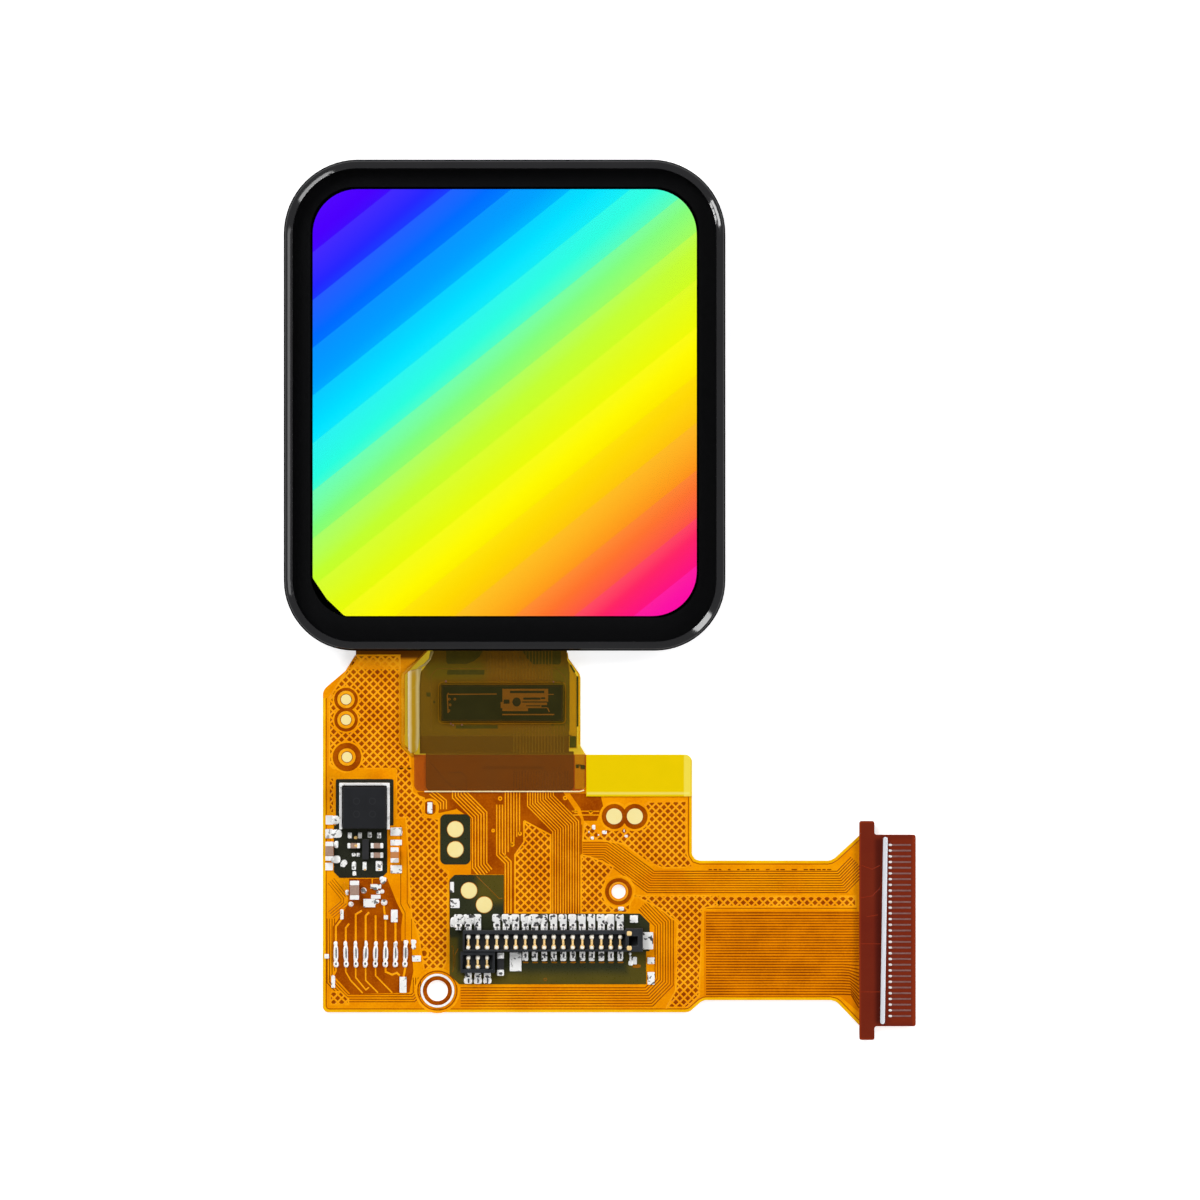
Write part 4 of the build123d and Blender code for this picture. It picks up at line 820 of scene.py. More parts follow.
class Ground:
    """Tells how far the top of a node stands above a level, down to a line across the films."""

    def __init__(self, node, level, end=math.inf):
        mesh = nodes[node].data
        points = [v.co / MM for v in mesh.vertices]
        self.tree = BVHTree.FromPolygons(points, [tuple(p.vertices) for p in mesh.polygons])
        self.level = level
        self.end = end

    def rise(self, x, y):
        if GLASS_LOW.y - y > self.end:
            return 0.0
        hit = self.tree.ray_cast(Vector((x, y, 5.0)), Vector((0, 0, -1)))[0]
        return hit.z - self.level if hit else 0.0


def mesh_lines(shape, outline, choice, clearings, draped):
    """Two families of slanting strips that fill an outline."""
    xs, ys = [p[0] for p in outline], [p[1] for p in outline]
    middle = ((min(xs) + max(xs)) / 2, (min(ys) + max(ys)) / 2)
    reach = math.hypot(max(xs) - min(xs), max(ys) - min(ys)) / 2
    count = math.ceil(reach / choice.mesh_pitch)
    half = math.sqrt(0.5)
    for k, run in enumerate(((half, half), (half, -half))):
        for i in range(-count, count + 1):
            # The lines run on from area to area, because they are counted from the film's corner.
            base = (middle[0] * run[1] - middle[1] * run[0]) / choice.mesh_pitch
            aside = (round(base) + i) * choice.mesh_pitch
            along = middle[0] * run[0] + middle[1] * run[1]
            start = (aside * run[1] + along * run[0], -aside * run[0] + along * run[1])
            for a, b in spans(start, run, outline, clearings):
                ends = [(start[0] + run[0] * t, start[1] + run[1] * t) for t in (a, b)]
                line = divided(ends, 0.2) if draped else ends
                shape.strip(line, choice.mesh_width, FILM_TOP - 0.0005, FILM_TOP + choice.height - 0.001 * k)


def copper_finish(name, shade, light, depth=0.002):
    """Copper under the amber coverlay, with slow changes of tone along it."""
    finish = Finish(name)
    slow = finish.noise(0.8, 4.0)
    fine = finish.noise(10.0, 3.0)
    colour = finish.tones(finish.mask(0.7 * slow + 0.3 * fine, 0.35, 0.65), shade, light)
    return finish.coat(colour, 0.2, 0.12, fine, depth, Specular_IOR_Level=0.1)


def amber_finish():
    """Amber circuit film: a copper plane under a glossy coverlay, plain amber on its edges and back, with a
    painted shadow on its arm just below the glass.
    """
    finish = Finish("amber_film")
    slow = finish.noise(0.5, 5.0)
    fine = finish.noise(9.0, 3.0)
    tone = 0.65 * slow + 0.35 * fine
    colour = finish.tones(finish.mask(tone, 0.38, 0.62), (0.92, 0.54, 0.0), (0.97, 0.62, 0.01))
    # The dark brown box on the arm just below the glass is a painted shadow of the glass's edge.
    colour = finish.shaded(colour, [(0.9, (1.6, -1.0, 5.4, 0.42), 0.12, (0.30, 0.14, 0.02))])
    return finish.surface(
        Base_Color=colour, Roughness=0.12 + 0.12 * fine, Specular_IOR_Level=0.2,
        Normal=finish.bump(tone, 0.003))


class DISPLAY_OT_film(bpy.types.Operator):
    """Finishes the circuit film, its dark mask and the plates behind it"""

    bl_idname = "display.film"
    bl_label = "Circuit Film"

    def execute(self, context):
        dress("circuit_film", amber_finish())
        dress("solder_mask", self.mask_finish(), 0.006)
        dress("rear_stiffeners", self.steel_finish(), 0.02)
        dress("yellow_tape", self.yellow_finish(), 0.03)
        return {"FINISHED"}

    def mask_finish(self):
        """Dark green mask: nearly black round the chips and contacts, olive where copper lies below."""
        finish = Finish("dark_mask")
        slow = finish.noise(0.9, 4.0)
        fine = finish.noise(12.0, 3.0)
        olive = finish.patch(6.6, 16.95, 17.3, 17.8, 0.35).over(finish.patch(8.1, 11.5, 9.8, 13.3, 0.3))
        olive = olive.over(finish.patch(16.0, 15.9, 17.3, 17.8, 0.3)).over(
            finish.patch(6.5, 15.1, 7.1, 17.8, 0.12))
        shade = finish.tones(slow, (0.15, 0.16, 0.10), (0.21, 0.22, 0.13))
        light = finish.tones(slow, (0.27, 0.25, 0.08), (0.38, 0.33, 0.10))
        colour = finish.mix(olive, shade, light)
        colour = finish.shaded(colour, [(0.6, (0.3, 6.5, 3.9, 12.2), 0.05, (0.13, 0.13, 0.12))])
        return finish.coat(colour, 0.2, 0.2, fine, 0.003, Specular_IOR_Level=0.35)

    def steel_finish(self):
        """Brushed steel plate, with fine lines along it and faint stains."""
        finish = Finish("plate_steel")
        lines = finish.noise(1.0, 4.0, (0.6, 30.0, 1.0))
        stain = finish.noise(0.35, 5.0)
        colour = finish.tones(stain, (0.56, 0.56, 0.57), (0.72, 0.72, 0.73))
        return finish.coat(colour, 0.25, 0.2, lines, 0.003, Metallic=0.9)

    def yellow_finish(self):
        """Bright yellow tape, paler along its right edge, with a painted highlight along its lower edge and a
        fine weave of wrinkles.
        """
        finish = Finish("yellow_tape")
        slow = finish.noise(0.7, 4.0)
        fine = finish.noise(14.0, 3.0)
        colour = finish.tones(slow, (0.90, 0.78, 0.0), (0.95, 0.81, 0.01))
        # The second box is a painted highlight along the tape's lower edge.
        colour = finish.shaded(colour, [
            (0.7, (19.0, 5.0, 19.36, 8.0), 0.03, (0.97, 0.90, 0.35)),
            (0.5, (13.9, 7.45, 19.3, 7.56), 0.05, (0.97, 0.93, 0.55))])
        return finish.surface(
            Base_Color=colour, Roughness=0.14 + 0.12 * fine, Specular_IOR_Level=0.35,
            Normal=finish.bump(slow, 0.006))


class DISPLAY_OT_copper(bpy.types.Operator):
    """Draws the copper pattern of the circuit film: mesh, lines, gaps and the bright edge"""

    bl_idname = "display.copper"
    bl_label = "Copper Pattern"

    def execute(self, context):
        choice = settings().copper
        self.ground = Ground("circuit_film", FILM_TOP, ARM_SLOPE_END)
        self.low = FILM_TOP - 0.0005
        bare = copper_finish("bare_film", (0.57, 0.235, 0.0), (0.69, 0.33, 0.0), 0.003)
        dark = copper_finish("plane_gap", (0.50, 0.22, 0.0), (0.66, 0.32, 0.0))
        bright = copper_finish("copper_line", (0.95, 0.58, 0.0), (1.0, 0.67, 0.06))
        edge = copper_finish("film_edge", (0.93, 0.68, 0.0), (0.97, 0.76, 0.05))
        window = copper_finish("window_film", (0.86, 0.48, 0.0), (0.92, 0.54, 0.0), 0.003)
        make("bare_areas", "amber_film", bare, self.draw_areas)
        make("copper_mesh", "copper_ring", bright, self.draw_mesh, choice)
        make("copper_lines", "copper_ring", bright, self.draw_lines, choice)
        make("plane_gaps", "amber_film", dark, self.draw_gaps)
        make("film_edges", "amber_film", edge, self.draw_rim)
        make("line_window", "amber_film", window, self.draw_window)
        make("pad_gaps", "amber_film", bare, self.draw_pad_gaps)
        return {"FINISHED"}

    def draw_areas(self, shape):
        """Areas without a copper plane, where the film is brown."""
        outline = MESH_AREAS["arm"]
        rows = []
        for i in range(ARM_STEPS + 1):
            v = outline[0][1] + (outline[4][1] - outline[0][1]) * i / ARM_STEPS
            left, right = (spans((0.0, v), (1.0, 0.0), outline, []) or [ARM_END])[0]
            rows.append((v, left, right))
        shape.ribbon(rows, self.low, FILM_TOP + 0.0025)
        shape.lift(self.ground.rise)
        for name, area in MESH_AREAS.items():
            if name != "arm":
                shape.prism(area, self.low, FILM_TOP + 0.0025)
        for i, area in enumerate(BARE_AREAS):
            shape.prism(area, self.low, FILM_TOP + 0.0028 + 0.0003 * i)

    def draw_mesh(self, shape, choice):
        """Copper mesh, with a rim round each area and round each place that it keeps clear of."""
        clearings = [(*place(u, v), radius) for u, v, radius in MESH_CLEARINGS]
        for name, area in MESH_AREAS.items():
            outline = route(area)
            mesh_lines(shape, outline, choice, clearings, name == "arm")
            border = outline + outline[:1]
            if name == "arm":
                border = divided(border, 0.25)
            shape.strip(border, MESH_BORDER, self.low, FILM_TOP + choice.height - 0.0015)
        for i, (u, v, radius) in enumerate(MESH_CLEARINGS):
            shape.band(u, v, radius - 0.05, radius + 0.07, self.low, FILM_TOP + 0.0062 + 0.0002 * i, 36)
        shape.lift(self.ground.rise)

    def draw_lines(self, shape, choice):
        """Copper lines and small rings."""
        top = FILM_TOP + choice.height
        shape.rows(COPPER_LINES, self.low, top)
        for u, end in SHORT_LINES:
            shape.path([(u, SHORT_START), (u, end)], SHORT_WIDTH, self.low, top)
        for u, v, radius in RING_MARKS:
            shape.band(u, v, radius - 0.045, radius + 0.03, self.low, top, 20)

    def draw_gaps(self, shape):
        """Gaps in the copper planes, the dashes on the tail and the fine lines of its window."""
        top = FILM_TOP + 0.003
        shape.rows(PLANE_GAPS, self.low, top)
        for run in RIM_RUNS:
            shape.strip(offset_line(route(run), 0.18), 0.04, self.low, top)
        u, end, v = DASHES
        while u < end:
            length = random.uniform(0.12, 0.3)
            shape.path([(u, v), (u + length, v)], 0.07, self.low, top)
            u += length + random.choice((0.08, 0.1, 0.35))
        left, upper, right, lower = WINDOW
        for i in range(WINDOW_LINES):
            v = upper + 0.1 + (lower - upper - 0.2) * i / (WINDOW_LINES - 1)
            spread = (i / (WINDOW_LINES - 1) - 0.5) * 2
            wave = random.uniform(-0.012, 0.012)
            ends = [(left + 0.1, v), (23.5, v + wave), (FAN_START, v)]
            if spread > 0.25:
                ends += [(FAN_START + 0.25 + 0.2 * spread, v + 0.02), (right, v + 0.9 * (spread - 0.2))]
            else:
                ends += [(right, v)]
            shape.path(ends, random.uniform(0.05, 0.075), FILM_TOP + 0.002, FILM_TOP + 0.0055)

    def draw_rim(self, shape):
        """Bright edge of bare film round the outline."""
        for run in RIM_RUNS:
            shape.strip(offset_line(route(run), 0.065), 0.12, self.low, FILM_TOP + 0.002, 0.05)

    def draw_window(self, shape):
        """Area of fine lines on the tail."""
        left, upper, right, lower = WINDOW
        corners = [(right, upper), (right, lower + 0.85), (27.2, lower), (left, lower), (left, upper)]
        shape.prism(corners, self.low, FILM_TOP + 0.0025)

    def draw_pad_gaps(self, shape):
        """Dark rings round the pads and the two holes."""
        top = FILM_TOP + 0.0095
        for i, (u, v, inner, outer) in enumerate(PAD_GAPS):
            shape.band(u, v, inner, outer, self.low, top + 0.0003 * i)
        shape.dome(5.63, 8.27, 0.62, 0.86, 0.003, self.low, square=3.0)
        shape.dome(5.32, 15.93, 0.3, 0.3, 0.003, self.low)


# Driver film and tape
# Heights of the film on the ledge and at its foot, of the chip's face and of the tape
LEDGE_LEVEL = 0.45
FOOT_LEVEL = 0.27
CHIP_LEVEL = 0.70
TAPE_LEVEL = 0.50

# Fine lines of the driver film: places and width
TRACES = [([(8.65 + 0.17 * i, 0.02), (8.65 + 0.17 * i, 1.62 if i > 2 else 1.2)], 0.07) for i in range(21)]
TRACES += [([(10.05 + 0.163 * i, 3.95), (10.05 + 0.163 * i, 5.38)], 0.07) for i in range(17)]
TRACES += [([(5.7, 4.25), (5.7, 1.3), (6.0, 0.95), (12.3, 0.95), (12.75, 1.4), (12.75, 4.25)], 0.05),
           ([(5.50, 4.46), (13.1, 4.46)], 0.05), ([(5.50, 5.45), (13.1, 5.45)], 0.06)]
FOOT_TRACES = [([(10.05 + 0.15 * i, 6.35), (10.05 + 0.15 * i, 7.32)], 0.06) for i in range(20)]
FOOT_TRACES += [([(6.6, 6.42), (7.3, 6.42), (7.55, 6.65), (7.55, 7.3)], 0.04),
                ([(5.6, 5.8), (6.6, 7.0), (7.2, 7.3)], 0.04), ([(12.0, 6.5), (12.4, 6.3), (12.5, 6.0)], 0.05)]
# Dark areas of the driver film, as outlines
BLOTCHES = [
    [(8.42, 0.02), (8.25, 0.30), (7.95, 0.55), (7.55, 0.70), (6.60, 0.70), (6.50, 0.60), (6.50, 0.02)],
    [(12.52, 0.02), (12.52, 0.62), (12.45, 0.72), (11.10, 0.72), (10.75, 0.40), (10.50, 0.02)],
    [(8.50, 1.02), (8.50, 1.26), (6.55, 1.26), (6.55, 1.02)],
    [(5.68, 2.2), (5.68, 2.42), (5.45, 2.42), (5.45, 2.2)],
    [(5.80, 2.74), (5.86, 2.78), (5.92, 2.74), (5.92, 2.66), (5.86, 2.62), (5.80, 2.66)],
    [(12.14, 3.86), (12.14, 3.94), (12.02, 3.94), (12.02, 3.86)],
    [(9.2, 3.92), (9.2, 4.1), (7.0, 4.1), (7.0, 3.92)],
]
# Dark bars in the chip's metal pattern: u and v of the left end, length and width
PRINT_GAPS = [
    (9.85, 2.17, 1.8, 0.13), (10.55, 2.52, 0.9, 0.11), (10.5, 2.70, 1.3, 0.06), (9.52, 2.68, 0.3, 0.22),
    (11.48, 2.50, 0.22, 0.1), (10.7, 2.90, 0.75, 0.05), (11.5, 2.92, 0.3, 0.12),
]
# Metal lines on the chip's face: places and width
PRINT_LINES = [
    ([(6.62, 2.30), (9.15, 2.28)], 0.06), ([(6.62, 2.22), (6.55, 2.35), (6.60, 3.28)], 0.06),
    ([(9.45, 2.35), (11.86, 2.35)], 0.70), ([(9.36, 2.86), (11.80, 2.86)], 0.33),
    ([(9.45, 3.36), (12.18, 3.36)], 0.07), ([(9.45, 3.10), (10.8, 3.10)], 0.16),
    ([(11.86, 2.30), (12.15, 2.30)], 0.05), ([(11.82, 3.0), (11.92, 3.22)], 0.06),
]
# Outlines of the painted highlight on the fold along the left side of the tape
FOLD_HIGHLIGHTS = [
    [(4.47, 1.12), (4.62, 1.03), (4.86, 0.98), (5.24, 0.88), (5.14, 1.25), (5.10, 1.9),
     (5.10, 4.55), (5.02, 5.10), (4.90, 5.34), (4.62, 5.40), (4.50, 5.22), (4.47, 4.4)],
    [(5.66, 0.02), (5.86, 0.02), (5.68, 0.48), (5.42, 0.78), (5.24, 0.86), (4.92, 0.94),
     (5.30, 0.70), (5.58, 0.42)],
]


def tape_finish(choice):
    """Clear amber tape: it tints what lies under it, with a faint film of its own and a glossy face."""
    finish = Finish("clear_tape")
    slow = finish.noise(0.6, 4.0)
    clear = finish.clear(choice.tint)
    cloud = finish.tones(slow, (0.42, 0.46, 0.32), (0.48, 0.50, 0.34))
    film = finish.shader(
        Base_Color=cloud, Roughness=0.12 + 0.1 * slow, Coat_Weight=0.4, Normal=finish.bump(slow, 0.03))
    return finish.show(finish.blend(choice.haze * (0.7 + 0.6 * slow), clear, film))


def driver_finish():
    """Thin driver film, olive brown, darker in its lower part and red brown where it is bonded."""
    finish = Finish("olive_film")
    slow = finish.noise(0.7, 5.0)
    fine = finish.noise(10.0, 3.0)
    colour = finish.tones(slow, (0.57, 0.56, 0.38), (0.62, 0.58, 0.38))
    colour = finish.shaded(colour, [(0.6, (8.6, -1.0, 11.6, 4.2), 0.8, (0.64, 0.52, 0.32))])
    green = finish.patch(12.1, 0.8, 13.1, 4.0, 0.25).over(finish.patch(5.4, 0.6, 8.5, 1.5, 0.3))
    colour = finish.mix(0.7 * green, colour, linear((0.50, 0.58, 0.30)))
    colour = finish.shaded(colour, [(0.75, (5.0, 4.5, 13.4, 5.44), 0.04, (0.53, 0.44, 0.36))])
    bond = finish.patch(5.0, 5.44, 13.6, 7.6, 0.02)
    red = finish.tones(slow, (0.57, 0.36, 0.36), (0.63, 0.40, 0.34))
    colour = finish.mix(bond, colour, red)
    colour = finish.shaded(colour, [(0.45, (8.4, 6.12, 11.6, 6.2), 0.12, (0.32, 0.19, 0.16))])
    return finish.coat(colour, 0.3, 0.2, fine, 0.003, Specular_IOR_Level=0.3)


class DISPLAY_OT_driver(bpy.types.Operator):
    """Finishes the driver film, its chip and resin, the tape over them and the marks on them"""

    bl_idname = "display.driver"
    bl_label = "Driver Film and Tape"

    def execute(self, context):
        choice = settings().tape
        dress("driver_film", driver_finish())
        dress("driver_chip", moulded_finish("bare_chip", (0.05, 0.09, 0.10), (0.09, 0.13, 0.14), 0.35), 0.015)
        dress("chip_resin", moulded_finish("resin_bead", (0.20, 0.19, 0.10), (0.27, 0.25, 0.12), 0.2))
        dress("cover_tape", tape_finish(choice))
        draw_in("cover_tape", 0.002)
        self.film = Ground("driver_film", LEDGE_LEVEL)
        self.cover = Ground("cover_tape", TAPE_LEVEL)
        dark = copper_finish("film_blotch", (0.30, 0.31, 0.28), (0.36, 0.35, 0.28))
        trace = copper_finish("film_trace", (0.50, 0.42, 0.30), (0.55, 0.44, 0.30))
        print_ink = copper_finish("chip_print", (0.50, 0.36, 0.30), (0.57, 0.39, 0.30))
        shade = copper_finish("print_gap", (0.16, 0.15, 0.18), (0.22, 0.20, 0.22))
        foot = copper_finish("foot_trace", (0.46, 0.28, 0.26), (0.52, 0.31, 0.26))
        # Pale colour for the painted highlight on the cut edge at the tape's foot.
        pale = copper_finish("foot_edge_highlight", (0.93, 0.86, 0.62), (0.98, 0.93, 0.76))
        margin = copper_finish("tape_margin", (0.58, 0.42, 0.06), (0.66, 0.46, 0.06))
        orange = copper_finish("orange_film", (1.0, 0.82, 0.2), (1.0, 0.88, 0.3))
        green = copper_finish("green_film", (0.36, 0.46, 0.12), (0.44, 0.54, 0.16))
        make("film_blotches", "olive_film", dark, self.draw_blotches)
        make("film_traces", "olive_film", trace, self.draw_traces, TRACES)
        make("foot_traces", "olive_film", foot, self.draw_traces, FOOT_TRACES)
        make("chip_print", "black_silicon", print_ink, self.draw_print)
        make("print_gaps", "black_silicon", shade, self.draw_print_gaps)
        make("blister_edge", "clear_tape", margin, self.draw_frame)
        make("side_film", "olive_film", driver_finish(), self.draw_side_film)
        margin = copper_finish("film_margin", (0.98, 0.95, 0.05), (1.0, 0.98, 0.08))
        make("film_margin", "olive_film", margin, self.draw_margin)
        make("green_film", "olive_film", green, self.draw_green)
        make("foot_film", "amber_film", orange, self.draw_orange)
        rim = copper_finish("tape_rim", (0.80, 0.54, 0.0), (0.88, 0.64, 0.02))
        make("tape_rim", "clear_tape", rim, self.draw_tape_rim)
        pressed = copper_finish("pressed_tape", (0.80, 0.52, 0.02), (0.90, 0.64, 0.06), 0.004)
        make("tape_lap", "clear_tape", pressed, self.draw_lap, smooth=True)
        # Painted highlight on the tape's fold at its left side.
        make("tape_fold_highlight", "clear_tape", self.fold_highlight_finish(), self.draw_fold_highlight, smooth=True)
        # A pale strip painted as the highlight on the cut edge at the tape's foot.
        make("tape_foot_highlight", "clear_tape", pale, self.draw_foot_highlight)
        make("tape_marks", "olive_film", dark, self.draw_right_marks)
        return {"FINISHED"}

    def fold_highlight_finish(self):
        """Where the tape bends down at its left side: a glossy fold, with a painted highlight in pale bands
        across it and amber between.
        """
        finish = Finish("tape_fold_highlight")
        x, _, _ = finish.axes()
        slow = finish.noise(1.5, 3.0)
        left = place(4.46, 0)[0]
        # Pale bands of painted highlight across the fold, counted from its left edge, with amber between.
        colour = finish.ramp((x - left + 0.08 * slow) / 0.7, [
            (0.03, (0.62, 0.66, 0.42)), (0.12, (0.88, 0.81, 0.66)), (0.30, (0.82, 0.71, 0.45)),
            (0.42, (0.70, 0.54, 0.08)), (0.62, (0.68, 0.53, 0.12)), (0.80, (0.76, 0.68, 0.44)),
            (0.95, (0.66, 0.57, 0.32))])
        return finish.coat(colour, 0.15, 0.2, slow, 0.004, Specular_IOR_Level=0.4)

    def draw_blotches(self, shape):
        """Dark solid areas of the driver film, under the tape."""
        low, top = LEDGE_LEVEL - 0.001, LEDGE_LEVEL + 0.004
        for corners in BLOTCHES:
            shape.prism(corners, low, top)

    def draw_traces(self, shape, runs):
        """Fine lines of the driver film."""
        for i, (points, width) in enumerate(runs):
            top = LEDGE_LEVEL + 0.005 + 0.00002 * i
            shape.path(points, width, LEDGE_LEVEL - 0.001, top, step=0.15)
        shape.lift(self.film.rise)

    def draw_print(self, shape):
        """Metal pattern on the face of the chip, mostly at its right half."""
        low, top = CHIP_LEVEL - 0.001, CHIP_LEVEL + 0.006
        for places, width in PRINT_LINES:
            shape.path(places, width, low, top, 0.04)
            top += 0.0003
        for u, v in ((6.66, 2.55), (6.70, 2.85), (6.64, 3.15), (6.95, 2.55)):
            shape.band(u, v, 0.03, 0.07, low, top, 14)
        for u, v, size in ((6.48, 1.62, 0.10), (6.74, 3.84, 0.09), (6.86, 3.92, 0.08), (7.32, 3.90, 0.09),
                           (12.14, 1.64, 0.08), (12.60, 2.02, 0.05)):
            shape.dome(u, v, size, size * 1.3, 0.012, TAPE_LEVEL - 0.003, steps=10, rows=3)

    def draw_print_gaps(self, shape):
        """Dark bars and the round spot inside the chip's metal pattern."""
        low, top = CHIP_LEVEL + 0.007, CHIP_LEVEL + 0.011
        for u, v, length, width in PRINT_GAPS:
            shape.path([(u, v), (u + length, v)], width, low, top, 0.1, 0.13)
        shape.dome(10.20, 2.70, 0.44, 0.48, 0.006, low, square=2.0, steps=28, rows=3)

    def draw_side_film(self, shape):
        """Margin of the driver film between the fold of the tape and the film's own edge."""
        rows = [(0.02, 5.80, 5.96), (0.5, 5.62, 5.86), (0.95, 5.30, 5.66), (1.2, 5.10, 5.52)]
        rows += [(1.25 + 0.139 * i, 5.10, 5.50) for i in range(31)]
        shape.ribbon(rows, LEDGE_LEVEL - 0.012, LEDGE_LEVEL - 0.001)
        shape.lift(lambda x, y: self.film.rise(x + 0.5, y))

    def draw_margin(self, shape):
        """Bare margin of the driver film along the right side of the tape."""
        rows = [(0.45, 12.80, 12.84), (0.9, 12.85, 13.15), (1.35, 12.90, 13.36)]
        rows += [(1.4 + 0.15 * i, 12.90, 13.38) for i in range(26)]
        shape.ribbon(rows, LEDGE_LEVEL - 0.045, LEDGE_LEVEL - 0.035)
        shape.lift(lambda x, y: self.film.rise(x - 0.6, y))

    def draw_green(self, shape):
        """Dark green lines along the right margin, under the tape."""
        low, top = LEDGE_LEVEL - 0.03, LEDGE_LEVEL - 0.02
        for points, width in (
                ([(13.40, 1.35), (13.40, 4.0)], 0.1), ([(13.02, 0.75), (13.25, 1.15)], 0.1),
                ([(13.16, 4.5), (13.16, 5.1)], 0.34), ([(12.95, 1.1), (12.95, 4.2)], 0.05)):
            shape.path(points, width, low, top, 0.05, 0.15)
        shape.lift(lambda x, y: self.film.rise(x - 0.6, y))

    def draw_orange(self, shape):
        """Copper of the main film that shines through at the foot of the tape, at the right."""
        corners = [(13.78, 5.5), (13.78, 7.28), (13.26, 7.28), (13.26, 5.5)]
        shape.prism(corners, FILM_TOP - 0.0005, FILM_TOP + 0.01)

    def draw_tape_rim(self, shape):
        """Glowing cut edge of the tape at the right."""
        places = [(12.85, 0.1), (12.90, 0.42), (13.48, 1.24), (13.49, 4.95)]
        shape.path(places, 0.07, TAPE_LEVEL - 0.001, TAPE_LEVEL + 0.006, step=0.15)
        shape.lift(lambda x, y: self.cover.rise(x - 0.1, y))

    def draw_frame(self, shape):
        """Soft edge where the tape rises over the chip."""
        left, top, right, bottom = 6.09, 1.66, 12.78, 3.84
        loop = []
        for u, v, turn in ((right, top, 0), (right, bottom, 1), (left, bottom, 2), (left, top, 3)):
            side_u = -1 if u == right else 1
            side_v = 1 if v == top else -1
            for i in range(5):
                a = math.radians(90 * (turn - 1) + 22.5 * i)
                loop.append((u + side_u * 0.25 + 0.25 * math.cos(a), v + side_v * 0.25 + 0.25 * math.sin(a)))
        shape.path(loop + loop[:2], 0.035, TAPE_LEVEL - 0.006, TAPE_LEVEL + 0.004)

    def draw_fold_highlight(self, shape):
        """Fold along the left side of the tape, which carries the painted highlight."""
        for corners in FOLD_HIGHLIGHTS:
            shape.prism(corners, TAPE_LEVEL - 0.006, TAPE_LEVEL + 0.012, 0.03)

    def draw_lap(self, shape):
        """Left edge of the tape, pressed down over the arm of the circuit film."""
        line = divided(route([(5.46, -0.06), (4.22, 1.24), (4.22, 5.0), (4.72, 5.46), (4.80, 5.52)]), 0.4)
        rings = []
        for (a, b), (c, d) in zip(offset_line(line, -0.12), offset_line(line, 0.10)):
            slope = max(0.0, min(1.0, (GLASS_LOW.y - b - 4.9) / 0.5))
            high = TAPE_LEVEL + 0.006 - (TAPE_LEVEL - 0.32) * slope
            low = FILM_TOP + 0.002
            rings.append(((a, b, low), (a, b, low + 0.028), (c, d, high), (c, d, high - 0.03)))
        shape.tube(rings)

    def draw_foot_highlight(self, shape):
        """Painted highlight along the cut edge at the foot of the tape."""
        shape.path([(5.35, 7.41), (13.5, 7.41), (13.75, 7.34)], 0.07, 0.313, 0.328)

    def draw_right_marks(self, shape):
        """Dark marks at the right margin of the tape."""
        low, top = FOOT_LEVEL - 0.001, FOOT_LEVEL + 0.005
        shape.path([(13.32, 6.08), (13.46, 6.08)], 0.17, low, top)
        shape.path([(13.56, 6.12), (13.78, 6.12)], 0.2, low, top)
        shape.path([(13.46, 6.02), (13.56, 6.02)], 0.05, low, top)


# Tail
CONTACTS = 31
# Place of the dots along the contacts, and half the width of a contact
DOT_U = 29.85
DOT_INSET = 0.045
# Scratches on the plate
PLATE_MARKS = [
    [(28.3, 13.0), (28.9, 12.9), (29.3, 12.5), (29.5, 12.1)],
    [(28.35, 11.3), (28.9, 11.5), (29.3, 11.3)],
    [(28.3, 15.42), (29.4, 15.42)],
    [(28.3, 17.95), (29.4, 17.95)],
    [(28.6, 14.0), (29.2, 13.9)],
]


